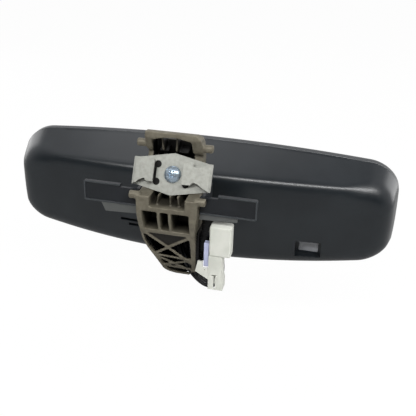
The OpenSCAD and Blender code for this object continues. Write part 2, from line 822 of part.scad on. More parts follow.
module terminal_pins() {
    color("#C8B070")
        for (i = [0:2], k = [0:1])
            translate([shroud_x + shroud_w / 2 + (i - 1) * 2.2, shroud_y + shroud_d / 2 + (k - 0.5) * 2.2,
                shell_bottom_z - 5 - 8])
                translate([-0.3, -0.3, 0])
                    cube([0.6, 0.6, 8]);
}

module terminal_lock() {
    color(lavender) {
        block([lock_x, shell_y + 2.2, lock_z[0]], [shell_x - 0.5, shell_y + shell_d - 2.2, lock_z[1]]);
        block([shell_x - 0.6, shell_y + 2.6, shell_bottom_z + 1.8],
            [shell_x + 3.4, shell_y + shell_d - 2.6, lock_z[1] - 0.6]);
    }
}

module connector_clip() {
    inner_x = lock_x - fit_gap;
    step_z = lock_z[0] - fit_gap;
    color(white)
        difference() {
            through_y([[bracket_x + 1.8, step_z + 3.7], [inner_x, step_z + 3.7],
                [inner_x, step_z], [shroud_x, step_z], [shroud_x, shroud_bottom_z + 5.9],
                [bracket_x + 0.5, shroud_bottom_z + 10.2]],
                shroud_y + 0.4, shroud_y + 1.5);
            translate([lock_x + 1, 0, step_z - 0.9])
                rod(0.5, -10, -5);
        }
}

// Black tray that fills the hollow behind the lattice and covers the wires' way to the stalk.
module wire_cover() {
    plate_y = hollow_back_y - 1.1;
    color(black)
        difference() {
            lattice_tube(slip_gap, concat(set_back(liner_front),
                backwards([for (p = hollow_back) p - [slip_gap, 0]])));
            lattice_tube(1.1, concat(set_back(-1), [[plate_y, foot_bottom_z - 1], [plate_y, 0]]));
            translate([0, 0, head_z])
                rod(bundle_r + 1, 10, 18);
            wire_exit();
        }
}

wire_x = shell_x + 4.7;
harness_path = [
    [wire_x, 0.5, shell_bottom_z + 4.6], [wire_x, 0.6, shell_bottom_z - 0.4],
    [wire_x, 1, foot_bottom_z + 15],
    [wire_x, 1.8, foot_bottom_z + 10], [wire_x - 0.2, 2.6, foot_bottom_z + 5],
    [wire_x - 1.4, 2.6, foot_bottom_z - 0.4], [wire_x - 3.8, 2.2, foot_bottom_z - 4],
    [wire_x - 7.4, 1.8, foot_bottom_z - 4.6], [wire_x - 11.4, 2.8, foot_bottom_z - 3.4],
    [12.6, 3.8, foot_bottom_z - 0.8], [9.6, 4.3, foot_bottom_z + 2.4],
    [6.8, 4.8, foot_bottom_z + 6.4], [4.4, 5.6, foot_bottom_z + 10.4],
    [2.4, 7.2, head_z - 5.2], [0.9, 9.6, head_z - 1.8], [0.2, 12.2, head_z - 0.3],
    [0, 15, head_z], [0, 20, head_z], [0, 27, head_z], [0, 36, head_z], [0, 44, head_z]
];
module harness_foot() {
    color("#18191B")
        tube(concat(harness_path, [[0, head_y + ball_y - 0.6, head_z]]), bundle_r, [1, 0, 0]);
}

// ---------------------------------------------------------------- ball joint layers

module zone(r_in, r_out, a0, a1) {
    reach = 3 * r_out;
    rotate_extrude($fn = 96)
        intersection() {
            difference() {
                circle(r_out);
                circle(r_in);
            }
            polygon([[0, 0], [reach * sin(a0), reach * cos(a0)], [reach, 0],
                [reach * sin(a1), reach * cos(a1)]]);
        }
}

module ball_seat() {
    color("#D8D4C4")
        at_ball()
            zone(ball_r + ball_gap, seat_out_r, mouth_angle, front_angle);
}

module tension_cup() {
    color(steel)
        at_ball()
            zone(seat_out_r + ball_gap, cup_out_r, mouth_angle, front_angle);
}

module clamp_places() {
    for (a = [45:90:315])
        translate([clamp_pitch_r * cos(a), clamp_pitch_r * sin(a), 0])
            children();
}

socket_len = frame_back_y - ball_y;
module ball_socket() {
    color("#4A4D50")
        at_ball()
            difference() {
                translate([0, 0, -socket_len])
                    cylinder(r = socket_r, h = socket_len);
                sphere(r = socket_in_r, $fn = 96);
                clamp_places()
                    translate([0, 0, -socket_len - 1])
                        cylinder(r = clamp_screw_r + slip_gap, h = socket_len + 2);
            }
}

module socket_retainer() {
    color("#5A5D60")
        at_ball()
            difference() {
                union() {
                    cylinder(r = socket_r, h = clamp_flange_t);
                    cylinder(r = retainer_r, h = retainer_len);
                }
                sphere(r = socket_in_r, $fn = 96);
                clamp_places()
                    translate([0, 0, -1])
                        cylinder(r = clamp_screw_r + slip_gap, h = 4);
            }
}

module socket_screws() {
    color(steel)
        at_ball()
            clamp_places() {
                translate([0, 0, clamp_flange_t])
                    cylinder(r = 2.2, h = 1.5);
                translate([0, 0, -socket_len - frame_t])
                    cylinder(r = clamp_screw_r, h = socket_len + frame_t + clamp_flange_t);
            }
}

// ---------------------------------------------------------------- head

carrier_posts = [for (x = [-50, 50], z = [-17, 17]) [x, z]];
post_r = 3;
post_bore_r = 1.2;
module mirror_frame() {
    color("#3F4246")
        in_head()
            difference() {
                union() {
                    rounded_plate([-frame_half_len, frame_half_len], [-frame_half_h, frame_half_h],
                        6, frame_back_y, frame_t);
                    for (s = [-1, 1]) {
                        block([-frame_half_len + 4, frame_back_y - 3, s * 14 - 0.8],
                            [-socket_r - 3, frame_back_y, s * 14 + 0.8]);
                        block([socket_r + 3, frame_back_y - 3, s * 14 - 0.8],
                            [frame_half_len - 4, frame_back_y, s * 14 + 0.8]);
                    }
                }
                rod(ball_r, frame_back_y - 1, frame_back_y + frame_t + 1);
                for (a = [45:90:315])
                    translate([clamp_pitch_r * cos(a), 0, clamp_pitch_r * sin(a)])
                        rod(clamp_screw_r + slip_gap, frame_back_y - 1, frame_back_y + frame_t + 1);
                for (p = carrier_posts)
                    translate([p[0], 0, p[1]])
                        rod(post_bore_r + slip_gap, frame_back_y - 1, frame_back_y + frame_t + 1);
            }
}

vent_slots = [[-47, -12.4, 18], [-41.5, -15.6, 12]];
module rear_housing() {
    outer = wall_rings(0, [0, 0.25, 0.5, 0.75, 1], [0.4, 0.8]);
    inner = wall_rings(housing_wall, [0, 0.5, 1], [0.5, 0.8]);
    outer_count = len(outer);
    inner_count = len(inner);
    points = [for (r = concat(outer, inner)) each r];
    faces = concat(
        [for (k = [0:outer_count - 2]) each flipped(band(k, k + 1))],
        flipped(slit(outer_count - 1)),
        [for (k = [0:inner_count - 2]) each band(outer_count + k, outer_count + k + 1)],
        slit(outer_count + inner_count - 1),
        band(0, outer_count));
    floor_y = back_y(sensor_x, sensor_z) + recess_floor;
    color(black)
        in_head()
            difference() {
                union() {
                    polyhedron(points, flipped(faces));
                    // walls of the sensor recess
                    intersection() {
                        block([recess_x[0] - window_wall, floor_y - 8, recess_z[0] - window_wall],
                            [recess_x[1] + window_wall, floor_y + window_wall, recess_z[1] + window_wall]);
                        translate([0, housing_wall, 0])
                            polyhedron([for (r = outer) each r], flipped(concat(
                                [for (k = [0:outer_count - 2]) each flipped(band(k, k + 1))],
                                flipped(slit(outer_count - 1)), slit(0))));
                    }
                }
                rod(opening_r, -housing_depth - 2, ball_y - 4);
                block([recess_x[0], -housing_depth, recess_z[0]], [recess_x[1], floor_y, recess_z[1]]);
                block([recess_x[0] + 1.6, -housing_depth, recess_z[0] + 1.6],
                    [recess_x[1] - 1.6, 0, recess_z[1] - 1.6]);
                for (v = vent_slots)
                    block([v[0], -housing_depth - 2, v[1] - 0.9], [v[0] + v[2], ball_y, v[1] + 0.9]);
            }
}

// Section of the bezel: inset from the rim and depth, once around.
bezel_section = [
    [0, seam_gap], [0, bezel_depth - 4.2], [0.8, bezel_depth - 1.4], [2.6, bezel_depth],
    [lip_inset, bezel_depth], [lip_inset, bezel_depth - lip_t], [bezel_wall, bezel_depth - lip_t],
    [bezel_wall, 1.4], [lip_inset, 1.4], [lip_inset, -1.5], [housing_wall + 1.1, -1.5],
    [housing_wall + 1.1, seam_gap]
];
module front_bezel() {
    count = len(bezel_section);
    rings = [for (s = bezel_section) [for (p = rim_ring(s[0])) [p[0], s[1], p[1]]]];
    color(black)
        in_head()
            polyhedron([for (r = rings) each r],
                [for (k = [0:count - 1]) each band(k, (k + 1) % count)]);
}

module front_glass() {
    color("#8FA3AD")
        in_head()
            slab(glass_inset, front_glass_y, glass_t);
}

module rear_glass() {
    color("#A9B4BA")
        in_head()
            slab(rear_glass_inset, rear_glass_y, glass_t);
}

module cell_seal() {
    color("#3A3A3A")
        in_head()
            difference() {
                slab(rear_glass_inset + 0.4, rear_glass_y + glass_t, cell_t);
                slab(rear_glass_inset + 2.4, rear_glass_y + glass_t - 1, cell_t + 2);
            }
}

// Contact clips on the top and bottom edges of the rear sheet.
bus_half = 15;
bus_t = 0.8;
module bus_clips() {
    edge_inset = rear_glass_inset - bus_t / 2 - 0.05 - slip_gap;
    color("#C8B070")
        in_head()
            for (edge_z = [head_top - edge_inset, edge_inset - head_bottom])
                translate([0, 0, edge_z])
                    block([-bus_half, rear_glass_y + 0.2, -bus_t / 2],
                        [bus_half, rear_glass_y + 1.4, bus_t / 2]);
}

sensor_hole_r = 3.4;
glare_x = 40;
glare_z = 10;
module backing_pad() {
    color("#4A4038")
        in_head()
            difference() {
                slab(pad_inset, pad_y, pad_t);
                translate([glare_x, 0, glare_z])
                    rod(sensor_hole_r, pad_y - 1, pad_y + 3);
            }
}

module glass_carrier() {
    color("#2B2D30")
        in_head()
            difference() {
                union() {
                    slab(pad_inset + 0.6, carrier_plate_y, carrier_plate_t);
                    for (p = carrier_posts)
                        translate([p[0], 0, p[1]])
                            rod(post_r, frame_back_y + frame_t, carrier_plate_y + 0.5);
                }
                translate([glare_x, 0, glare_z])
                    rod(sensor_hole_r, carrier_plate_y - 1, carrier_plate_y + 3);
                for (p = carrier_posts)
                    translate([p[0], 0, p[1]])
                        rod(post_bore_r + slip_gap, frame_back_y, carrier_plate_y + 1);
            }
}

module carrier_screws() {
    color(steel)
        in_head()
            for (p = carrier_posts)
                translate([p[0], 0, p[1]]) {
                    rod(2.2, frame_back_y - 1.5, frame_back_y);
                    rod(post_bore_r, frame_back_y, frame_back_y + frame_t + 4);
                }
}

module circuit_board() {
    color("#2E5A3C")
        in_head()
            difference() {
                rounded_plate(board_x, [-board_half_h, board_half_h], 2, board_y, board_t);
                for (p = carrier_posts)
                    translate([p[0], 0, p[1]])
                        rod(post_r + fit_gap, board_y - 1, board_y + 3);
            }
}

module board_parts() {
    y0 = board_y + board_t;
    color("#1C1D1F")
        in_head() {
            block([24, y0, -8], [34, y0 + 1.4, 2]);
            block([60, y0, -2], [67, y0 + 1.4, 5]);
            block([56, y0, -14], [60, y0 + 1.2, -8]);
            for (i = [0:4])
                block([72 + 3.4 * i, y0, 8], [74 + 3.4 * i, y0 + 1, 11.2]);
        }
}

module glare_sensor() {
    color("#D0D4D8")
        in_head()
            translate([glare_x, 0, glare_z])
                rod(sensor_hole_r - fit_gap, board_y + board_t, rear_glass_y - 0.05);
}

module ambient_sensor() {
    color("#30343A")
        in_head()
            block([sensor_x - 2.5, board_y - 1.2, sensor_z - 2.5],
                [sensor_x + 2.5, board_y, sensor_z + 2.5]);
}

module light_pipe() {
    color("#DCE4E8")
        in_head()
            translate([sensor_x, 0, sensor_z])
                rod(2.4, back_y(sensor_x, sensor_z) + recess_floor + 1.25, board_y - 1.2);
}

module sensor_window() {
    floor_y = back_y(sensor_x, sensor_z) + recess_floor;
    color("#C9CBCB")
        in_head()
            block([recess_x[0] + 1.65, floor_y, recess_z[0] + 1.65],
                [recess_x[1] - 1.65, floor_y + 1.2, recess_z[1] - 1.65]);
}

header_x = board_x[0] - 1;
module board_header() {
    color("#EDEBE2")
        in_head()
            block([board_x[0] + 0.5, board_y + board_t, -5], [board_x[0] + 6, board_y + board_t + 1.8, 5]);
}

module harness_plug() {
    y0 = board_y + board_t;
    color("#EDEBE2")
        in_head()
            difference() {
                block([header_x - 5, y0 - 3, -4.4], [header_x + 0.6, y0 + 1.6, 4.4]);
                translate([header_x - 6, y0 - 1.2, 0])
                    rotate([0, 90, 0])
                        cylinder(r = head_bundle_r + slip_gap, h = 3);
            }
}

module harness_head() {
    y1 = board_y + board_t - 1.2;
    color("#18191B")
        in_head()
            tube([[0, ball_y + 0.6, 0], [0, ball_y + 3.5, 0], [0.3, ball_y + 6.5, 0], [1.4, ball_y + 9.4, 0],
                [3.6, ball_y + 11.6, 0], [6.6, y1 - 0.2, 0], [9.4, y1, 0], [header_x - 3.2, y1, 0]],
                head_bundle_r, [0, 0, 1]);
}

mount_foot();
spring_clip();
clip_screw();
trim_carrier();
ball_stud();
connector_bracket();
bracket_screw();
connector_shell();
connector_shroud();
terminal_pins();
terminal_lock();
connector_clip();
wire_cover();
harness_foot();
ball_seat();
tension_cup();
ball_socket();
socket_retainer();
socket_screws();
mirror_frame();
rear_housing();
front_bezel();
front_glass();
rear_glass();
cell_seal();
bus_clips();
backing_pad();
glass_carrier();
carrier_screws();
circuit_board();
board_parts();
glare_sensor();
ambient_sensor();
light_pipe();
sensor_window();
board_header();
harness_plug();
harness_head();
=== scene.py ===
import json
import math

import bmesh
import bpy
import numpy as np
from mathutils import Matrix, Vector


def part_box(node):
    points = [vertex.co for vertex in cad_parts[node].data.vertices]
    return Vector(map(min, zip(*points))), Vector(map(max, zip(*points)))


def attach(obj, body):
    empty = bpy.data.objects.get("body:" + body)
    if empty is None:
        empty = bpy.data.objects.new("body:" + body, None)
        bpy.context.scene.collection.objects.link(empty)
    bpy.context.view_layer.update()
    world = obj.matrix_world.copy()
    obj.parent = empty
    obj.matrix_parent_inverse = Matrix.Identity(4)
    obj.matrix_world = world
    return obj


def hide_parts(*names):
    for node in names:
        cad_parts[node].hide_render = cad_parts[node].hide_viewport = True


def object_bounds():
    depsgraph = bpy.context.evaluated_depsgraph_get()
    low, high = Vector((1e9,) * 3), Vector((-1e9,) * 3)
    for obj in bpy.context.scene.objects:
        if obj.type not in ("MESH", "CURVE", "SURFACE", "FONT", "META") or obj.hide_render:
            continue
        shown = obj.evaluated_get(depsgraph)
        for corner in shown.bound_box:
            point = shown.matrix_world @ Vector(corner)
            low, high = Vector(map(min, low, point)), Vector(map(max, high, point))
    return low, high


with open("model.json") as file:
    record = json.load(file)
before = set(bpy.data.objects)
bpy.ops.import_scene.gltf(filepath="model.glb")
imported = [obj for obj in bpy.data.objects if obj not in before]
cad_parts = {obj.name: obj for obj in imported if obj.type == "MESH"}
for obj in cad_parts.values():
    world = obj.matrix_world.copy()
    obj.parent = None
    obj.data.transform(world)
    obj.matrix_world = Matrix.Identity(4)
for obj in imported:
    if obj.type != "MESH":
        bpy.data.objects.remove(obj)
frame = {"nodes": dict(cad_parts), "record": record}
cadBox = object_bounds()
nodes = frame["nodes"]
mm = 0.001
print("frame loaded with", len(nodes), "nodes")

# ---- camera

cameraSetup = {
    "target": (0, 70, -42),  # middle of the head's seam plane
    "azimuth": 12.91, "elevation": 25, "roll": 1.51,
    "distance": 432.1,
    "lens": 56.6, "shiftX": 0.0152, "shiftY": -0.0376,
}


def addCamera(setup):
    a, e, r = (math.radians(setup[k]) for k in ("azimuth", "elevation", "roll"))
    back = Vector((math.sin(a) * math.cos(e), -math.cos(a) * math.cos(e), math.sin(e)))
    right = Vector((math.cos(a), math.sin(a), 0))
    up = back.cross(right)
    axes = Matrix((math.cos(r) * right + math.sin(r) * up, math.cos(r) * up - math.sin(r) * right, back))
    lens = bpy.data.cameras.new("camera")
    lens.lens, lens.shift_x, lens.shift_y = setup["lens"], setup["shiftX"], setup["shiftY"]
    lens.clip_start, lens.clip_end = 0.01, 20
    camera = bpy.data.objects.new("camera", lens)
    place = axes.transposed().to_4x4()
    place.translation = (setup["distance"] * back + Vector(setup["target"])) * mm
    camera.matrix_world = place
    bpy.context.scene.collection.objects.link(camera)
    bpy.context.scene.camera = camera


addCamera(cameraSetup)

# ---- meshes


def addPiece(name, points, faces, body, materialSlot, replaced):
    # points in millimetres, faces as lists or rows of point numbers
    mesh = bpy.data.meshes.new(name)
    mesh.from_pydata((np.asarray(points) * mm).tolist(), [], [list(map(int, f)) for f in faces])
    return addMesh(name, mesh, body, materialSlot, replaced)


def addMesh(name, mesh, body, materialSlot, replaced):
    mesh.name = name
    piece = bpy.data.objects.new(name, mesh)
    bpy.context.scene.collection.objects.link(piece)
    mesh.polygons.foreach_set("use_smooth", np.ones(len(mesh.polygons), bool))
    mesh.materials.clear()
    mesh.materials.append(materials[materialSlot])
    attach(piece, body)
    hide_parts(*replaced)
    return piece


def gridFaces(rows, columns, closeRows=False):
    # quads between neighbouring rows of a grid numbered row by row, closed round its columns
    i, j = np.meshgrid(np.arange(rows if closeRows else rows - 1), np.arange(columns), indexing="ij")
    i, j = i.ravel(), j.ravel()
    nextRow, nextColumn = (i + 1) % rows, (j + 1) % columns
    return np.stack([i * columns + j, i * columns + nextColumn,
                     nextRow * columns + nextColumn, nextRow * columns + j], 1)


def turnOutwards(mesh):
    work = bmesh.new()
    work.from_mesh(mesh)
    bmesh.ops.remove_doubles(work, verts=work.verts, dist=1e-7)
    bmesh.ops.recalc_face_normals(work, faces=work.faces)
    work.to_mesh(mesh)
    work.free()


def joined(nodeName):
    # a copy of a node's loose triangles, with its points merged and its flat faces made whole
    work = bmesh.new()
    work.from_mesh(nodes[nodeName].data)
    bmesh.ops.remove_doubles(work, verts=work.verts, dist=2e-6)
    bmesh.ops.dissolve_limit(work, angle_limit=math.radians(0.5), verts=work.verts, edges=work.edges)
    mesh = bpy.data.meshes.new(nodeName + "_joined")
    work.to_mesh(mesh)
    work.free()
    return mesh


def finished(piece):
    # the piece's mesh after its modifiers
    shown = piece.evaluated_get(bpy.context.evaluated_depsgraph_get())
    mesh = bpy.data.meshes.new_from_object(shown)
    piece.modifiers.clear()
    piece.data = mesh
    return piece


def softened(nodeName, name, body, materialSlot, radius, steps=3):
    # a node's own shape with its edges rounded to a radius in millimetres
    piece = addMesh(name, joined(nodeName), body, materialSlot, [nodeName])
    bevel = piece.modifiers.new("edges", "BEVEL")
    bevel.width, bevel.segments = radius * mm, steps
    bevel.limit_method, bevel.angle_limit = "ANGLE", math.radians(25)
    bevel.harden_normals = True
    return finished(piece)


def cut(piece, cutters, operation="DIFFERENCE"):
    for cutter in cutters:
        change = piece.modifiers.new("cut", "BOOLEAN")
        change.operation, change.object, change.solver = operation, cutter, "EXACT"
    finished(piece)
    for cutter in cutters:
        bpy.data.objects.remove(cutter)


def tool(kind, low=None, high=None, centre=None, radius=None, length=None):
    # a box between two corners, or a cylinder along Y, in millimetres, only for cutting
    work = bmesh.new()
    if kind == "box":
        low, high = Vector(low), Vector(high)
        bmesh.ops.create_cube(work, size=1)
        size, middle = high - low, (high + low) / 2
        place = Matrix.Translation(middle * mm) @ Matrix.Diagonal((*(size * mm), 1))
    else:
        bmesh.ops.create_cone(work, cap_ends=True, segments=96, radius1=radius * mm, radius2=radius * mm,
                              depth=length * mm)
        place = Matrix.Translation(Vector(centre) * mm) @ Matrix.Rotation(math.pi / 2, 4, "X")
    bmesh.ops.transform(work, matrix=place, verts=work.verts)
    mesh = bpy.data.meshes.new("tool")
    work.to_mesh(mesh)
    work.free()
    made = bpy.data.objects.new("tool", mesh)
    bpy.context.scene.collection.objects.link(made)
    return made


# ---- materials


def linear(hexColor):
    # sRGB hex to linear
    value = np.array([int(hexColor[k:k + 2], 16) / 255 for k in (1, 3, 5)])
    value = np.where(value <= 0.04045, value / 12.92, ((value + 0.055) / 1.055) ** 2.4)
    return (*value.tolist(), 1)


def addNode(tree, kind, settings=None, inputs=None):
    node = tree.nodes.new(kind)
    for key, value in (settings or {}).items():
        setattr(node, key, value)
    for key, value in (inputs or {}).items():
        if isinstance(value, bpy.types.NodeSocket):
            tree.links.new(value, node.inputs[key])
        else:
            node.inputs[key].default_value = value
    return node


def newMaterial(name, shaderValues):
    material = bpy.data.materials.new(name)
    material.use_nodes = True
    tree = material.node_tree
    shader = tree.nodes["Principled BSDF"]
    for key, value in shaderValues.items():
        shader.inputs[key].default_value = value
    place = addNode(tree, "ShaderNodeTexCoord").outputs["Object"]
    return material, tree, shader, place


def grainOn(tree, shader, place, widthMm, depthMm, detail=2.0):
    # fine relief: noise whose cells are widthMm across, as a bump depthMm deep
    noise = addNode(tree, "ShaderNodeTexNoise", None,
                    {"Vector": place, "Scale": 1000 / widthMm, "Detail": detail})
    bump = addNode(tree, "ShaderNodeBump", None,
                   {"Height": noise.outputs["Fac"], "Distance": depthMm * mm, "Strength": 1.0})
    tree.links.new(bump.outputs["Normal"], shader.inputs["Normal"])
    return noise


def roughnessFrom(tree, shader, grain, low, high):
    # roughness that follows the relief between two values
    rough = addNode(tree, "ShaderNodeMapRange", None,
                    {"Value": grain.outputs["Fac"], "From Min": 0.3, "From Max": 0.7,
                     "To Min": low, "To Max": high})
    tree.links.new(rough.outputs["Result"], shader.inputs["Roughness"])


mixColours = {"data_type": "RGBA"}  # a colour mix: factor on socket 0, colours on 6 and 7


def mottled(tree, place, widthMm, dark, light):
    # two near hex colours, mixed in soft patches widthMm across
    noise = addNode(tree, "ShaderNodeTexNoise", None,
                    {"Vector": place, "Scale": 1000 / widthMm, "Detail": 3.0})
    patch = addNode(tree, "ShaderNodeMapRange", None,
                    {"Value": noise.outputs["Fac"], "From Min": 0.35, "From Max": 0.65})
    return addNode(tree, "ShaderNodeMix", mixColours,
                   {0: patch.outputs["Result"], 6: linear(dark), 7: linear(light)}).outputs[2]


plasticLooks = {
    # moulded plastics: colours, roughness range, patch and grain widths, grain depth
    "housing_plastic": {"dark": "#14191D", "light": "#1A1F23", "rough": (0.28, 0.32), "patch": 26,
                        "grain": 1.2, "depth": 0.0012, "specular": 0.6},
    "carrier_plastic": {"dark": "#15181C", "light": "#1B1E22", "rough": (0.36, 0.46), "patch": 14,
                        "grain": 0.7, "depth": 0.008, "specular": 0.4},
    "bracket_plastic": {"dark": "#030304", "light": "#060607", "rough": (0.2, 0.34), "patch": 5,
                        "grain": 1.4, "depth": 0.03, "specular": 0.3},
    "connector_plastic": {"dark": "#BFC1B8", "light": "#C9CAC2", "rough": (0.36, 0.46), "patch": 7,
                          "grain": 0.8, "depth": 0.006, "specular": 0.45},
    "lock_plastic": {"dark": "#A9AECC", "light": "#B7BCD6", "rough": (0.36, 0.46), "patch": 5,
                     "grain": 0.8, "depth": 0.006, "specular": 0.45},
    "component_plastic": {"dark": "#161718", "light": "#1E1F21", "rough": (0.5, 0.6), "patch": 4,
                          "grain": 0.4, "depth": 0.006, "specular": 0.4},
    "acetal": {"dark": "#D6D0BC", "light": "#E0DBCA", "rough": (0.34, 0.42), "patch": 8,
               "grain": 0.7, "depth": 0.004, "specular": 0.5},
}


carrierPaintedLight = {
    # where the bar's raised border and its lower flange begin, in millimetres, and their paler colours: a
    # painted highlight on the border and painted light on the flange
    "borderY": (-9.3, -9.44), "border": "#34383B", "flangeZ": (-17.0, -17.2), "flange": "#4E504F",
}


def mouldedPlastic(name):
    # injection-moulded plastic: a spark-eroded skin that breaks the gloss into a soft sheen
    look = plasticLooks[name]
    material, tree, shader, place = newMaterial(
        name, {"IOR": 1.5, "Specular IOR Level": look["specular"]})
    base = mottled(tree, place, look["patch"], look["dark"], look["light"])
    grain = grainOn(tree, shader, place, look["grain"], look["depth"], 0.0)
    roughnessFrom(tree, shader, grain, *look["rough"])
    if name == "carrier_plastic":
        # painted highlight and painted light: the raised border and the flange below the bar are paler than
        # the bar's face
        axes = addNode(tree, "ShaderNodeSeparateXYZ", None, {"Vector": place})
        for axis, span, colour in (("Y", "borderY", "border"), ("Z", "flangeZ", "flange")):
            start, end = carrierPaintedLight[span]
            reach = addNode(tree, "ShaderNodeMapRange", None,
                            {"Value": axes.outputs[axis], "From Min": start * mm, "From Max": end * mm})
            base = addNode(tree, "ShaderNodeMix", mixColours,
                           {0: reach.outputs["Result"], 6: base, 7: linear(carrierPaintedLight[colour])}).outputs[2]
    tree.links.new(base, shader.inputs["Base Color"])
    return material


# the last colour is the near-black that painted shade mixes the skin towards
castLook = {"skin": "#645F52", "pale": "#726D5F", "shadeColour": "#0D0B09", "patchMm": 3.2, "grainMm": 0.9,
            "grainDepthMm": 0.03, "rough": (0.42, 0.6)}


def dieCasting():
    # zinc-aluminium die casting with an olive passivated skin: satin, faintly cloudy and pebbled.
    # The foot's point attribute of painted shade turns its colour down inside the pockets and at the arm's
    # lower end: this is painted shade, added to what the light gives
    look = castLook
    material, tree, shader, place = newMaterial(
        "die_casting", {"Metallic": 0.35, "Specular IOR Level": 0.4})
    skin = mottled(tree, place, look["patchMm"], look["skin"], look["pale"])
    # painted shade from the foot's point attribute mixes the skin towards near-black
    depth = addNode(tree, "ShaderNodeAttribute", {"attribute_name": "paintedPocketShade"}).outputs["Fac"]
    base = addNode(tree, "ShaderNodeMix", mixColours,
                   {0: depth, 6: skin, 7: linear(look["shadeColour"])}).outputs[2]
    tree.links.new(base, shader.inputs["Base Color"])
    grain = grainOn(tree, shader, place, look["grainMm"], look["grainDepthMm"])
    roughnessFrom(tree, shader, grain, *look["rough"])
    return material


metalLooks = {
    # colours, metallic, roughness range, patch width, relief width and depth in millimetres
    "galvanised_steel": {"dark": "#94958E", "light": "#A1A29B", "metallic": 0.3, "rough": (0.42, 0.56),
                         "patch": 1.9, "grain": 0.7, "depth": 0.01},
    "zinc_plated_steel": {"dark": "#A4B6C6", "light": "#BCCBD8", "metallic": 0.75, "rough": (0.18, 0.28),
                          "patch": 2.0, "grain": 0.5, "depth": 0.003},
    "polished_steel": {"dark": "#B4B6BA", "light": "#C4C6CA", "metallic": 1.0, "rough": (0.12, 0.2),
                       "patch": 6.0, "grain": 0.6, "depth": 0.002},
    "spring_steel": {"dark": "#6E7277", "light": "#7E8287", "metallic": 1.0, "rough": (0.3, 0.4),
                     "patch": 4.0, "grain": 0.6, "depth": 0.006},
    "contact_brass": {"dark": "#C9A85C", "light": "#D6B86E", "metallic": 1.0, "rough": (0.2, 0.3),
                      "patch": 2.0, "grain": 0.5, "depth": 0.003},
    "die_casting_dark": {"dark": "#55585B", "light": "#636669", "metallic": 0.6, "rough": (0.45, 0.6),
                         "patch": 5.0, "grain": 0.9, "depth": 0.03},
}


def bareMetal(name):
    # rolled, plated or ground metal: a little cloudy, with its gloss broken by the finish
    look = metalLooks[name]
    material, tree, shader, place = newMaterial(name, {"Metallic": look["metallic"]})
    base = mottled(tree, place, look["patch"], look["dark"], look["light"])
    tree.links.new(base, shader.inputs["Base Color"])
    grain = grainOn(tree, shader, place, look["grain"], look["depth"])
    roughnessFrom(tree, shader, grain, *look["rough"])
    return material


def wireSkin():
    # black PVC wire and tape: soft gloss with fine lengthwise creases
    material, tree, shader, place = newMaterial("harness_tape", {"IOR": 1.52, "Specular IOR Level": 0.45})
    tree.links.new(mottled(tree, place, 3.0, "#0B0C0E", "#15171A"), shader.inputs["Base Color"])
    shader.inputs["Roughness"].default_value = 0.36
    grainOn(tree, shader, place, 1.1, 0.02)
    return material


def floatGlass():
    # polished float glass, clear with a faint green edge tint
    material, tree, shader, place = newMaterial("front_glass", {
        "IOR": 1.52, "Transmission Weight": 1.0, "Roughness": 0.0})
    tree.links.new(mottled(tree, place, 90, "#EEF3F1", "#F6F9F8"), shader.inputs["Base Color"])
    return material


def silveredGlass():
    # the rear sheet's silvered face: a clean mirror with a slight blue-grey cast
    material, tree, shader, place = newMaterial("mirror_glass", {"Metallic": 1.0, "Roughness": 0.015})
    tree.links.new(mottled(tree, place, 120, "#C3CAD0", "#CBD2D7"), shader.inputs["Base Color"])
    return material


def softSheet(name, dark, light, cellMm):
    # foam pad or edge seal: matt, full of small open cells
    material, tree, shader, place = newMaterial(name, {"Roughness": 0.9, "Specular IOR Level": 0.2})
    tree.links.new(mottled(tree, place, cellMm * 4, dark, light), shader.inputs["Base Color"])
    grainOn(tree, shader, place, cellMm, 0.08)
    return material


def solderMask():
    # green lacquer over copper tracks: tracks show as slightly paler straight bands
    material, tree, shader, place = newMaterial("board_laminate", {"Roughness": 0.3, "IOR": 1.5})
    tracks = addNode(tree, "ShaderNodeTexWave", {"bands_direction": "Z"}, {"Vector": place, "Scale": 160.0})
    shade = addNode(tree, "ShaderNodeMapRange", None,
                    {"Value": tracks.outputs["Fac"], "From Min": 0.5, "From Max": 0.6})
    base = addNode(tree, "ShaderNodeMix", mixColours,
                   {0: shade.outputs["Result"], 6: linear("#1C4A2C"), 7: linear("#28603A")}).outputs[2]
    tree.links.new(base, shader.inputs["Base Color"])
    return material


def clearMoulding(name, dark, light, weight, roughness):
    # clear or hazy moulded acrylic and polycarbonate for light pipes and windows
    material, tree, shader, place = newMaterial(name, {
        "IOR": 1.49, "Transmission Weight": weight, "Roughness": roughness})
    tree.links.new(mottled(tree, place, 6, dark, light), shader.inputs["Base Color"])
    grainOn(tree, shader, place, 1.0, 0.01)
    return material


materials = {name: mouldedPlastic(name) for name in plasticLooks}
materials.update({name: bareMetal(name) for name in metalLooks})
materials["die_casting"] = dieCasting()
materials["harness_tape"] = wireSkin()
materials["front_glass"] = floatGlass()
materials["mirror_glass"] = silveredGlass()
materials["seal_rubber"] = softSheet("seal_rubber", "#2B2B2C", "#343435", 0.5)
materials["foam_pad"] = softSheet("foam_pad", "#3A3734", "#4A4642", 0.8)
materials["board_laminate"] = solderMask()
materials["sensor_clear"] = clearMoulding("sensor_clear", "#DDE4E8", "#EDF2F4", 0.85, 0.1)
materials["window_plastic"] = clearMoulding("window_plastic", "#84868A", "#909296", 0.15, 0.3)
for part in frame["record"]["subparts"]:
    nodes[part["node"]].data.materials.clear()
    nodes[part["node"]].data.materials.append(materials[part["material_slot"]])
print("materials made:", len(materials))

# ---- head: rear housing and bezel

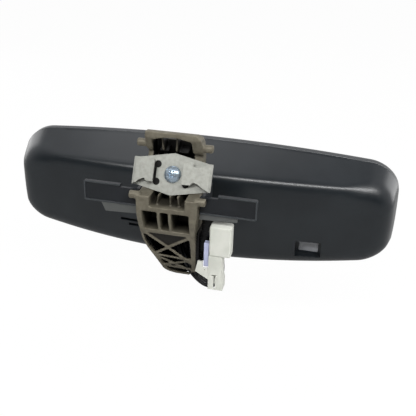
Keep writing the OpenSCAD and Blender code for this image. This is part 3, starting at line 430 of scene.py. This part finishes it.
headLow, headHigh = (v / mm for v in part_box("rear_housing"))
headPlace = (0, 70, -42)  # middle of the rim's plane, which the shapes below are drawn about
headShape = {
    "place": headPlace,
    "halfWidth": (headHigh[0] - headLow[0]) / 2,
    "top": headHigh[2] - headPlace[2], "bottom": headPlace[2] - headLow[2],
    "depth": headPlace[1] - headLow[1],
    "wall": 2.2,
    "crease": 24.4,  # height of the rear crease above the centre line
    "corner": 18,
    "rimBows": (5.6, 9.4, 1.5),  # fall of the top and bottom rims, bulge of the ends
    "backBows": (2.2, 8.8, 1.5),
    "backInset": (3.7, 4.5, 3),  # how far the flat back lies inside the rim: ends, bottom, corner
    "endDrop": 12,
    "camber": (1.2, 6, 30),
    # shoulder radii; the crease softens towards the ends, between two distances from the middle
    "rounding": {"crease": 3.6, "creaseTail": 8.5, "ends": 10.5, "lower": 8, "fade": (88, 112)},
    "lip": ((0.5, -0.3), (0.15, -0.33)),  # edge at the seam, as inset and depth
    "seamPull": 0.18,  # share of the first step by which the outer rim stands back from the seam
}
recessShape = {"x": (65.8, 81.4), "z": (-24, -13.2), "floor": 5.4, "wall": 1.4, "ledge": 1.6,
               "skin": 1.1, "block": 28, "reach": 30}  # the sensor window's recess, from the head's middle
ventShape = {"slots": ((-47, -12.4, 18), (-41.5, -15.6, 12)), "halfHeight": 0.9, "y": (-31, -18)}
mouthShape = {"radius": 14, "length": 16, "y": -24}  # round opening that the stalk goes into
ringSteps = {"end": 8, "arc": 20, "edge": 96}
halfCount = 2 * ringSteps["end"] + 2 * ringSteps["arc"] + ringSteps["edge"]


def halfOutline(halfWidth, height, radius):
    # upper half of a rounded rectangle from right to left: up the end, round a quarter circle, along
    # the straight top, round a quarter circle and down the other end
    turn = np.linspace(0, math.pi / 2, ringSteps["arc"] + 1)
    rise = np.linspace(0, 1, ringSteps["end"], endpoint=False)
    run = np.linspace(1, -1, ringSteps["edge"] + 1)[1:-1]
    x = np.concatenate([np.full(rise.size, halfWidth), halfWidth - radius * (1 - np.cos(turn)),
                        (halfWidth - radius) * run, radius * (1 - np.sin(turn)) - halfWidth,
                        np.full(rise.size, -halfWidth)])
    z = np.concatenate([(height - radius) * rise, height - radius * (1 - np.sin(turn)),
                        np.full(run.size, height), height - radius * (1 - np.cos(turn)),
                        (height - radius) * rise[::-1]])
    return x, z


def bowedHalf(halfWidth, height, radius, bow, endBow):
    # the same, with z falling as the square of x and x falling as the square of z
    x, z = halfOutline(halfWidth, height, radius)
    return x * (1 - endBow / halfWidth * (z / height) ** 2), z * (1 - bow / height * (x / halfWidth) ** 2)


def closedRing(halfWidth, top, bottom, radius, bows):
    # upper half followed by the lower half backwards, without the two shared end points
    upX, upZ = bowedHalf(halfWidth, top, radius, bows[0], bows[2])
    lowX, lowZ = bowedHalf(halfWidth, bottom, radius, bows[1], bows[2])
    return np.stack([np.concatenate([upX, lowX[-2:0:-1]]), np.concatenate([upZ, -lowZ[-2:0:-1]])], 1)


def smoothStep(low, high, value):
    t = np.clip((value - low) / (high - low), 0, 1)
    return t * t * (3 - 2 * t)


def rimRing(inset):
    s = headShape
    return closedRing(s["halfWidth"] - inset, s["top"] - inset, s["bottom"] - inset,
                      s["corner"] - min(inset, s["corner"] - 6), s["rimBows"])


def backRing(inset):
    s = headShape
    radius = s["corner"] - s["backInset"][2]
    return closedRing(s["halfWidth"] - s["backInset"][0] - inset, s["crease"] - inset,
                      s["bottom"] - s["backInset"][1] - inset, radius - min(inset, radius - 5),
                      s["backBows"])


def backDepth(x, z):
    # y of the flat back: shallower towards the ends as x squared, cambered as z squared
    s = headShape
    camber, middle, span = s["camber"]
    return s["endDrop"] * (x / s["halfWidth"]) ** 2 - s["depth"] + camber * ((z - middle) / span) ** 2


def wallRows(inset, bends, fills, straights):
    # rows of points from the rim over the rounded shoulder to the back's middle line; the shoulder is a
    # quadratic curve from a point before the corner, pulled towards the corner, to a point past it:
    # near (1 - t)^2 + corner 2t (1 - t) + far t^2
    s = headShape
    rim, edge = rimRing(inset), backRing(inset)
    corner = np.stack([edge[:, 0], backDepth(*edge.T) + inset, edge[:, 1]], 1)
    rimPoint = np.stack([rim[:, 0], 0 * rim[:, 0], rim[:, 1]], 1)
    # share is 0 down the ends and 1 along the top and bottom, from a plain outline with the same steps
    plainHeight, plainRadius = 8, 4
    half = halfOutline(10, plainHeight, plainRadius)[1]
    share = np.clip((np.concatenate([half, half[-2:0:-1]]) - plainRadius)
                    / (plainHeight - plainRadius), 0, 1)
    upper = np.arange(len(edge)) <= halfCount
    bend = s["rounding"]
    soft = smoothStep(*bend["fade"], np.abs(edge[:, 0]))
    radius = bend["ends"] * (1 - share) + share * np.where(
        upper, bend["crease"] * (1 - soft) + bend["ends"] * soft, bend["lower"])
    towardsRim = rimPoint - corner
    near = corner + radius[:, None] * towardsRim / np.linalg.norm(towardsRim, axis=1)[:, None]
    halfWidth, height = s["halfWidth"] - s["backInset"][0], s["bottom"] - s["backInset"][1]
    spine = np.stack([np.clip(edge[:, 0], height - halfWidth, halfWidth - height), 0 * edge[:, 0]], 1)
    inwards = (spine - edge) / np.linalg.norm(spine - edge, axis=1)[:, None]
    tail = radius + share * upper * (1 - soft) * (bend["creaseTail"] - bend["crease"])
    far = edge + tail[:, None] * inwards
    farPoint = np.stack([far[:, 0], backDepth(*far.T) + inset, far[:, 1]], 1)
    rows = [rimPoint + (near - rimPoint) * t for t in straights]
    rows += [near * (1 - t) ** 2 + corner * 2 * t * (1 - t) + farPoint * t * t for t in bends]
    for t in fills:
        flat = far + (spine - far) * t
        rows.append(np.stack([flat[:, 0], backDepth(*flat.T) + inset, flat[:, 1]], 1))
    return rows


def lastRowFaces(first, count):
    # closes a ring across its middle line with quads between its upper and lower points
    i = np.arange(1, count // 2 - 1)
    quads = np.stack([first + i, first + i + 1, first + count - i - 1, first + count - i], 1).tolist()
    half = count // 2
    return quads + [[first, first + 1, first + count - 1],
                    [first + half - 1, first + half, first + half + 1]]


def recessBox(grow, low, high):
    # a cutting block over the window's recess, grown sideways, between two depths
    hx, hy, hz = headPlace
    r = recessShape
    return tool("box", (hx + r["x"][0] - grow, hy + low, hz + r["z"][0] - grow),
                (hx + r["x"][1] + grow, hy + high, hz + r["z"][1] + grow))


def followBack(block, floorY):
    # moves a block's outer corners to y = backDepth(x, z) + skin, inside the housing's wall
    points = np.empty(len(block.data.vertices) * 3)
    block.data.vertices.foreach_get("co", points)
    points = points.reshape(-1, 3) / mm - np.array(headPlace)
    outer = points[:, 1] < floorY
    points[outer, 1] = backDepth(points[outer, 0], points[outer, 2]) + recessShape["skin"]
    block.data.vertices.foreach_set("co", ((points + np.array(headPlace)) * mm).ravel())
    block.data.update()


def makeHousing():
    # outer wall, edge at the seam and inner wall as one closed skin, then its recess and openings
    s = headShape
    count = 2 * halfCount
    fills = np.concatenate([np.linspace(0.01, 0.25, 18), np.linspace(0.29, 0.9, 12)])
    outer = wallRows(0, np.linspace(0, 1, 13), fills, np.linspace(0, 1, 10, endpoint=False))
    edge = [np.stack([rimRing(i)[:, 0], np.full(count, y), rimRing(i)[:, 1]], 1) for i, y in s["lip"]]
    outer[0] = outer[0] + (outer[1] - outer[0]) * s["seamPull"]
    inner = wallRows(s["wall"], np.linspace(0, 1, 5), np.linspace(0.2, 0.9, 6),
                     np.linspace(0, 1, 4, endpoint=False))
    rows = inner[::-1] + edge + outer
    points = np.concatenate(rows) + np.array(s["place"])
    faces = gridFaces(len(rows), count).tolist()
    faces += lastRowFaces(0, count) + lastRowFaces((len(rows) - 1) * count, count)
    housing = addPiece("rearHousing", points, faces, "head", "housing_plastic", ["rear_housing"])
    turnOutwards(housing.data)
    r, v, m = recessShape, ventShape, mouthShape
    floorY = float(backDepth(sum(r["x"]) / 2, sum(r["z"]) / 2)) + r["floor"]
    walls = recessBox(r["wall"], -r["block"], floorY + r["wall"])
    followBack(walls, floorY)
    cut(housing, [walls], "UNION")
    hx, hy, hz = s["place"]
    cutters = [recessBox(0, -r["reach"], floorY), recessBox(-r["ledge"], -r["reach"], 0),
               tool("cylinder", centre=(hx, hy + m["y"], hz), radius=m["radius"], length=m["length"])]
    for x, z, length in v["slots"]:
        cutters.append(tool("box", (hx + x, hy + v["y"][0], hz + z - v["halfHeight"]),
                            (hx + x + length, hy + v["y"][1], hz + z + v["halfHeight"])))
    cut(housing, cutters)
    return housing


def makeBezel():
    # a closed section of inset and depth, carried round the rim: a rounded outer wall, a rolled front
    # edge, the lip over the glass and the ledge behind it
    depth = (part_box("front_bezel")[1][1] / mm) - headShape["place"][1]
    turn = np.linspace(0, math.pi / 2, 10)
    roll = [(3.0 - 3.0 * math.cos(a), depth - 3.4 + 3.4 * math.sin(a)) for a in turn]
    lip = [(4.3, depth), (4.6, depth - 0.25), (4.6, depth - 1.15), (2.2, depth - 1.15)]
    ledge = [(2.2, 1.4), (4.6, 1.4), (4.6, -1.5), (3.3, -1.5), (3.3, 0.15), (0.5, 0.15), (0.3, 0.19),
             (0.1, 0.38)]
    section = roll + lip + ledge
    rows = [np.stack([rimRing(i)[:, 0], np.full(2 * halfCount, y), rimRing(i)[:, 1]], 1)
            for i, y in section]
    points = np.concatenate(rows) + np.array(headShape["place"])
    bezel = addPiece("frontBezel", points, gridFaces(len(rows), 2 * halfCount, closeRows=True), "head",
                     "housing_plastic", ["front_bezel"])
    turnOutwards(bezel.data)
    return bezel


def shadeByAngle(piece, degrees):
    piece.data.set_sharp_from_angle(angle=math.radians(degrees))


housing = makeHousing()
bezel = makeBezel()
for piece in (housing, bezel):
    shadeByAngle(piece, 35)
print("head made:", len(housing.data.polygons), "and", len(bezel.data.polygons), "faces")

# ---- cast foot

footShape = {
    "voxel": 0.45,
    # the arm's front line as height and depth
    "front": ((-63, 1), (-58, -3), (-42, -6.8), (-31, -10.4), (-21, -14), (-8.2, -14)),
    # left and right edges of the arm as height and side
    "left": ((-62, 2.4), (-60.7, -1.9), (-58, -4.5), (-52.5, -7.6), (-43, -13.2), (-38, -15.1),
             (-26, -16.4), (-8.2, -17)),
    "right": ((-62, 10), (-58, 12), (-57.5, 15), (-31, 15), (-17, 17), (-8.2, 17)),
    "pocketBack": ((-62, 14.3), (-31.5, 14.3), (-30.5, 2.6), (-8.2, 2.6)),
    "seatLean": 26,  # degrees
}
pocketShade = {
    # where painted shade darkens the casting, in millimetres, and how far towards black
    "side": (1.0, 1.7),
    "arm": {"behind": (0.6, 6), "z": (-61, -9), "upper": (-30, 0.74)},
    "arch": {"depth": (1.5, 4.5), "slope": 0.1, "from": 12, "x": (-1, 11.6), "z": (4, 20.8), "back": 9.7},
    "cell": {"behind": (0.3, 0.7), "floor": 3, "z": (-43, -32.2), "most": 0.93},
    "seat": {"out": (0.9, 0.2), "least": -6, "x": 12.6, "up": 10.2, "taper": 0.2},
    "low": {"z": (-43, -57), "back": 9, "most": 0.42},
}


def along(line, z):
    table = np.array(line)
    return np.interp(z, table[:, 0], table[:, 1])


def paintedPocketShade(points):
    # how much painted shade a point of the casting gets, 0 at the front faces and 1 well inside a pocket:
    # a smooth step of the depth behind the arm's front line, away from the arm's sides and back
    x, y, z = points.T
    s = pocketShade
    behind = y - along(footShape["front"], z)
    sideGap = np.minimum(x - along(footShape["left"], z), along(footShape["right"], z) - x)
    inside = smoothStep(*s["side"], sideGap)
    # painted shade inside the arm's pockets
    a = s["arm"]
    arm = (smoothStep(*a["behind"], behind) * inside * (y < along(footShape["pocketBack"], z))
           * (z < a["z"][1]) * (z > a["z"][0]) * np.where(z > a["upper"][0], a["upper"][1], 1))
    # painted shade in the arched hollow above the clip
    a = s["arch"]
    arch = (smoothStep(*a["depth"], y + a["slope"] * (z - a["from"])) * (np.abs(x - a["x"][0]) < a["x"][1])
            * (z > a["z"][0]) * (z < a["z"][1]) * (y < a["back"]))
    # painted shade on the floor of the lattice's upper cell
    c = s["cell"]
    cell = (smoothStep(*c["behind"], behind) * (behind < c["floor"]) * (z < c["z"][1]) * (z > c["z"][0])
            * inside * c["most"])
    # painted shade on the seat's face under the clip, by its height out of the leaning seat and up along it
    seatShade, lean = s["seat"], math.radians(footShape["seatLean"])
    out, up = z * math.sin(lean) - y * math.cos(lean), z * math.cos(lean) + y * math.sin(lean)
    seat = (smoothStep(*seatShade["out"], out) * (out > seatShade["least"]) * (np.abs(x) < seatShade["x"])
            * (np.abs(up) < seatShade["up"] - seatShade["taper"] * np.abs(x)))
    # painted shade fading in towards the arm's lower end, which follows no pocket
    low = s["low"]["most"] * smoothStep(*s["low"]["z"], z) * (y < s["low"]["back"])
    return np.clip(np.maximum(np.maximum(arm, cell), low) + arch + seat, 0, 1)


def makeFoot():
    # the node's own shape as a voxel skin, relaxed so that its edges round off as a casting's do
    foot = addMesh("footCasting", joined("mount_foot"), "foot", "die_casting", ["mount_foot"])
    remesh = foot.modifiers.new("skin", "REMESH")
    remesh.mode, remesh.voxel_size = "VOXEL", footShape["voxel"] * mm
    relax = foot.modifiers.new("fillets", "SMOOTH")
    relax.factor, relax.iterations = 0.5, 4
    finished(foot)
    mesh = foot.data
    mesh.materials.clear()
    mesh.materials.append(materials["die_casting"])
    mesh.polygons.foreach_set("use_smooth", np.ones(len(mesh.polygons), bool))
    points = np.empty(len(mesh.vertices) * 3)
    mesh.vertices.foreach_get("co", points)
    # the painted shade, kept on each point for the casting's material
    depth = mesh.attributes.new("paintedPocketShade", "FLOAT", "POINT")
    depth.data.foreach_set("value", paintedPocketShade(points.reshape(-1, 3) / mm).astype(np.float32))
    return foot


foot = makeFoot()
print("foot made:", len(foot.data.polygons), "faces")

# ---- clip and its screw

seatLean = math.radians(footShape["seatLean"])
seatNormal = np.array((0, -math.cos(seatLean), math.sin(seatLean)))
seatUp = np.array((0, math.sin(seatLean), math.cos(seatLean)))
screwShape = {"headRadius": 4.6, "headHeight": 2.6, "rimHeight": 0.7, "recessDepth": 1.5,
              "recess": (1.6, 0.34), "shank": 2.0, "length": 13, "seat": 0.85, "steps": 96}


def makeScrew():
    # rings round the screw's axis: a domed head, height falling as the 2.4th power of the radius, with
    # a six-lobed recess whose edge wanders as the cosine of six times the angle, then rim and shank
    s = screwShape
    steps = s["steps"]
    around = np.linspace(0, 2 * math.pi, steps, endpoint=False)
    radii = np.linspace(0.02, s["headRadius"] - 0.15, 46)[:, None] + 0 * around
    dome = s["rimHeight"] + (s["headHeight"] - s["rimHeight"]) * (1 - (radii / s["headRadius"]) ** 2.4)
    lobes = s["recess"][0] + s["recess"][1] * np.cos(6 * around)
    heights = dome - s["recessDepth"] * smoothStep(-0.12, 0.12, lobes - radii)
    rim = [(s["headRadius"], s["rimHeight"] - 0.1), (s["headRadius"], 0.12), (s["headRadius"] - 0.12, 0),
           (s["shank"], 0), (s["shank"], -s["length"] + 0.4), (s["shank"] - 0.4, -s["length"]),
           (0.02, -s["length"])]
    radii = np.concatenate([radii] + [np.full((1, steps), r) for r, h in rim])
    heights = np.concatenate([heights] + [np.full((1, steps), h) for r, h in rim]) + s["seat"]
    rows = len(radii)
    flat = np.stack([radii * np.cos(around), radii * np.sin(around)], -1).reshape(-1, 2)
    points = (flat[:, :1] * np.array((1, 0, 0)) + flat[:, 1:] * seatUp
              + heights.reshape(-1, 1) * seatNormal)
    faces = gridFaces(rows, steps).tolist()
    faces += [list(range(steps)), list(range((rows - 1) * steps, rows * steps))]
    screw = addPiece("clipScrew", points, faces, "foot", "zinc_plated_steel", ["clip_screw"])
    turnOutwards(screw.data)
    shadeByAngle(screw, 40)


clip = softened("spring_clip", "springClip", "foot", "galvanised_steel", 0.12, 2)
shadeByAngle(clip, 15)
makeScrew()
print("clip and screw made")

# ---- trim carrier, bracket and connector

edgeRadii = {
    # node: piece name, body, radius of its edges in millimetres
    "trim_carrier": ("trimCarrier", "foot", 0.16),
    "connector_bracket": ("connectorBracket", "foot", 0.3),
    "wire_cover": ("wireCover", "foot", 0.25),
    "connector_shroud": ("connectorShroud", "foot", 0.4),
    "connector_clip": ("connectorTab", "foot", 0.2),
    "terminal_lock": ("terminalLock", "terminal_lock", 0.35),
    "bracket_screw": ("bracketScrew", "foot", 0.25),
    "sensor_window": ("sensorWindow", "head", 0.35),
}
slotOf = {part["node"]: part["material_slot"] for part in frame["record"]["subparts"]}
for node, (name, body, radius) in edgeRadii.items():
    piece = softened(node, name, body, slotOf[node], radius)
    shadeByAngle(piece, 40)


shellShape = {"round": 1.3, "wall": 1.6, "under": 2.6, "hollow": 4}


def makeShell():
    # the connector's upper block: a box with well-rounded edges and a hollow open at its left
    low, high = (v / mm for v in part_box("connector_shell"))
    work = bmesh.new()
    bmesh.ops.create_cube(work, size=1)
    place = Matrix.Translation((low + high) / 2 * mm) @ Matrix.Diagonal((*((high - low) * mm), 1))
    bmesh.ops.transform(work, matrix=place, verts=work.verts)
    bmesh.ops.bevel(work, geom=work.edges, offset=shellShape["round"] * mm, segments=6, profile=0.5,
                    affect="EDGES")
    mesh = bpy.data.meshes.new("connectorShell")
    work.to_mesh(mesh)
    work.free()
    shell = addMesh("connectorShell", mesh, "foot", "connector_plastic", ["connector_shell"])
    wall = shellShape["wall"]
    cut(shell, [tool("box", (low[0] - 1, low[1] + wall, low[2] + wall),
                     (low[0] + shellShape["hollow"], high[1] - wall, high[2] - shellShape["under"]))])
    shadeByAngle(shell, 40)


makeShell()
print("carrier, bracket and connector made")

# ---- wires

wireRoute = np.array([
    (27.8, 0.5, -37), (27.8, 0.6, -42), (27.8, 1, -47), (27.8, 1.8, -52), (27.6, 2.6, -57),
    (26.4, 2.6, -62.4), (24, 2.2, -66), (20.4, 1.8, -66.6), (16.4, 2.8, -65.4), (12.6, 3.8, -62.8),
    (9.6, 4.3, -59.6), (6.8, 4.8, -55.6), (4.4, 5.6, -51.6), (2.4, 7.2, -47.2), (0.9, 9.6, -43.8),
    (0.2, 12.2, -42.3), (0, 15, -42), (0, 20, -42), (0, 27, -42), (0, 36, -42), (0, 44, -42),
    (0, 51.4, -42)])
wireSetup = {"count": 4, "wireRadius": 1.05, "spread": 1.28, "turns": 0.9, "samples": 200, "sides": 12}


def smoothRoute(points, samples):
    # a curve through the points: on each span a cubic whose end slopes follow the neighbouring points
    span = np.linspace(0, len(points) - 1.0001, samples)
    k, t = span.astype(int), (span % 1)[:, None]
    padded = np.vstack([2 * points[0] - points[1], points, 2 * points[-1] - points[-2]])
    a, b, c, d = (padded[k + n] for n in range(4))
    return 0.5 * (2 * b + (c - a) * t + (2 * a - 5 * b + 4 * c - d) * t ** 2
                  + (3 * b - a - 3 * c + d) * t ** 3)


def routeFrames(line, start):
    # for each point a side and an up direction square to the line, carried along it without twisting
    ahead = np.gradient(line, axis=0)
    ahead /= np.linalg.norm(ahead, axis=1)[:, None]
    sides = [np.array(start, float)]
    for way in ahead:
        side = sides[-1] - way * (sides[-1] @ way)
        sides.append(side / np.linalg.norm(side))
    side = np.array(sides[1:])
    return side, np.cross(ahead, side)


def tubeMesh(line, radius, start, sides):
    # circles square to the line, joined ring to ring and closed at both ends
    side, up = routeFrames(line, start)
    around = np.linspace(0, 2 * math.pi, sides, endpoint=False)
    ring = side[:, None] * np.cos(around)[:, None] + up[:, None] * np.sin(around)[:, None]
    points = (line[:, None] + radius * ring).reshape(-1, 3)
    faces = gridFaces(len(line), sides).tolist()
    last = (len(line) - 1) * sides
    return points, faces + [list(range(sides)), list(range(last, last + sides))]


def makeWires(name, route, setup, start, body, node):
    line = smoothRoute(route, setup["samples"])
    side, up = routeFrames(line, start)
    turn = np.linspace(0, 2 * math.pi * setup["turns"], len(line))
    points, faces, first = [], [], 0
    for n in range(setup["count"]):
        angle = (turn + 2 * math.pi * n / setup["count"])[:, None]
        strand = line + setup["spread"] * (side * np.cos(angle) + up * np.sin(angle))
        p, f = tubeMesh(strand, setup["wireRadius"], start, setup["sides"])
        faces += [[i + first for i in face] for face in f]
        first += len(p)
        points.append(p)
    wires = addPiece(name, np.concatenate(points), faces, body, "harness_tape", [node])
    turnOutwards(wires.data)
    shadeByAngle(wires, 50)


makeWires("footWires", wireRoute, wireSetup, (1, 0, 0), "foot", "harness_foot")
print("wires made")

# ---- floor, light and world


def addPlane(name, size, z, material):
    mesh = bpy.data.meshes.new(name)
    h = size / 2
    mesh.from_pydata([(-h, -h, z), (h, -h, z), (h, h, z), (-h, h, z)], [], [(0, 1, 2, 3)])
    plane = bpy.data.objects.new(name, mesh)
    bpy.context.scene.collection.objects.link(plane)
    mesh.materials.append(material)
    return plane


floorSetup = {
    # side and depth below the object in metres, share that glows when seen directly, and the level
    # that gloss sees, from in front of the foot to behind it
    "size": 30, "drop": 0.06, "share": 0.96, "level": (0.42, 0.8), "run": (0.0, 0.6),
}


def paperFloor():
    # white paper sweep: seen directly or through glass it is nearly white and keeps a soft shadow
    material, tree, shader, place = newMaterial("paperFloor", {"Roughness": 0.9, "Specular IOR Level": 0.1})
    shader.inputs["Base Color"].default_value = linear("#F2F2F0")
    seen = addNode(tree, "ShaderNodeLightPath")
    glow = addNode(tree, "ShaderNodeEmission", None, {"Strength": 1.0})
    direct = addNode(tree, "ShaderNodeMath", {"operation": "MAXIMUM"},
                     {0: seen.outputs["Is Camera Ray"], 1: seen.outputs["Is Transmission Ray"]})
    share = addNode(tree, "ShaderNodeMath", {"operation": "MULTIPLY"},
                    {0: direct.outputs[0], 1: floorSetup["share"]})
    mix = addNode(tree, "ShaderNodeMixShader", None, {0: share.outputs[0]})
    tree.links.new(shader.outputs[0], mix.inputs[1])
    tree.links.new(glow.outputs[0], mix.inputs[2])
    # gloss sees a grey floor in front of the foot and a brighter one behind it, not the white
    depth = addNode(tree, "ShaderNodeSeparateXYZ", None, {"Vector": place}).outputs["Y"]
    level = addNode(tree, "ShaderNodeMapRange", {"interpolation_type": "SMOOTHSTEP"},
                    {"Value": depth, "From Min": floorSetup["run"][0], "From Max": floorSetup["run"][1],
                     "To Min": floorSetup["level"][0], "To Max": floorSetup["level"][1]})
    dim = addNode(tree, "ShaderNodeEmission", None, {"Strength": level.outputs["Result"]})
    last = addNode(tree, "ShaderNodeMixShader", None, {0: seen.outputs["Is Glossy Ray"]})
    tree.links.new(mix.outputs[0], last.inputs[1])
    tree.links.new(dim.outputs[0], last.inputs[2])
    tree.links.new(last.outputs[0], tree.nodes["Material Output"].inputs["Surface"])
    return material


lampSetup = {
    # place and target in metres, size in metres, power in watts
    "strip": {"place": (0.15, -0.5, 0.62), "target": (0, 0.05, -0.04), "size": (1.3, 0.15), "power": 9.0},
    "overhead": {"place": (-0.1, 0.5, 0.8), "target": (0, 0.05, -0.04), "size": (0.9, 0.4), "power": 1.2},
    "rightBehind": {"place": (0.75, 0.5, 0.12), "target": (0.05, 0.05, -0.04), "size": (0.5, 0.7),
                    "power": 3.2},
    "leftBehind": {"place": (-0.75, 0.45, 0.12), "target": (-0.05, 0.05, -0.04), "size": (0.5, 0.7),
                   "power": 1.8},
}


def addLamps():
    for name, lamp in lampSetup.items():
        light = bpy.data.lights.new(name, "AREA")
        light.shape, light.energy = "RECTANGLE", lamp["power"]
        light.size, light.size_y = lamp["size"]
        holder = bpy.data.objects.new(name, light)
        holder.location = lamp["place"]
        aim = Vector(lamp["target"]) - Vector(lamp["place"])
        holder.rotation_euler = aim.to_track_quat("-Z", "Y").to_euler()
        bpy.context.scene.collection.objects.link(holder)


worldSetup = {
    # grey levels of the room on the camera side, from straight down to straight up
    "stops": ((0.0, 0.5), (0.49, 0.4), (0.53, 0.02), (0.72, 0.05), (0.86, 0.4), (1.0, 0.75)),
    "side": (0.0, -0.7),
    # the room behind the object, and its zenith
    "behind": (0.95, 0.95, 0.97, 1), "zenith": (0.3, 0.3, 0.32, 1), "zenithRun": (0.9, 0.99),
    "strength": 0.7,
}


def addWorld():
    # seen directly or through glass the world is white; gloss and soft light see a dimmer room, with a
    # dark band low on the camera side and a dim zenith, which keeps the black head black
    setup = worldSetup
    world = bpy.data.worlds.new("studio")
    bpy.context.scene.world = world
    world.use_nodes = True
    tree = world.node_tree
    tree.nodes.clear()
    way = addNode(tree, "ShaderNodeTexCoord").outputs["Generated"]
    axes = addNode(tree, "ShaderNodeSeparateXYZ", None, {"Vector": way})
    ramp = addNode(tree, "ShaderNodeValToRGB", None, {"Fac": addNode(
        tree, "ShaderNodeMapRange", None,
        {"Value": axes.outputs["Z"], "From Min": -1.0, "From Max": 1.0}).outputs["Result"]})
    while len(ramp.color_ramp.elements) < len(setup["stops"]):
        ramp.color_ramp.elements.new(0.5)
    for element, (position, level) in zip(ramp.color_ramp.elements, setup["stops"]):
        element.position, element.color = position, (level, level, level, 1)
    side = addNode(tree, "ShaderNodeMapRange", {"interpolation_type": "SMOOTHSTEP"},
                   {"Value": axes.outputs["Y"], "From Min": setup["side"][0], "From Max": setup["side"][1]})
    zenith = addNode(tree, "ShaderNodeMapRange", {"interpolation_type": "SMOOTHSTEP"},
                     {"Value": axes.outputs["Z"], "From Min": setup["zenithRun"][0],
                      "From Max": setup["zenithRun"][1]})
    behind = addNode(tree, "ShaderNodeMix", mixColours,
                     {0: zenith.outputs["Result"], 6: setup["behind"], 7: setup["zenith"]}).outputs[2]
    room = addNode(tree, "ShaderNodeMix", mixColours,
                   {0: side.outputs["Result"], 6: behind, 7: ramp.outputs["Color"]}).outputs[2]
    seen = addNode(tree, "ShaderNodeLightPath")
    direct = addNode(tree, "ShaderNodeMath", {"operation": "MAXIMUM"},
                     {0: seen.outputs["Is Camera Ray"], 1: seen.outputs["Is Transmission Ray"]})
    soft = addNode(tree, "ShaderNodeBackground", None, {"Color": room, "Strength": setup["strength"]})
    white = addNode(tree, "ShaderNodeBackground", None, {"Color": (1, 1, 1, 1), "Strength": 1.0})
    mix = addNode(tree, "ShaderNodeMixShader", None, {0: direct.outputs[0]})
    tree.links.new(soft.outputs[0], mix.inputs[1])
    tree.links.new(white.outputs[0], mix.inputs[2])
    end = addNode(tree, "ShaderNodeOutputWorld")
    tree.links.new(mix.outputs[0], end.inputs["Surface"])


addPlane("paperFloor", floorSetup["size"], cadBox[0][2] - floorSetup["drop"], paperFloor())
addLamps()
addWorld()
bpy.context.scene.view_settings.view_transform = "Standard"
print("floor and light made")
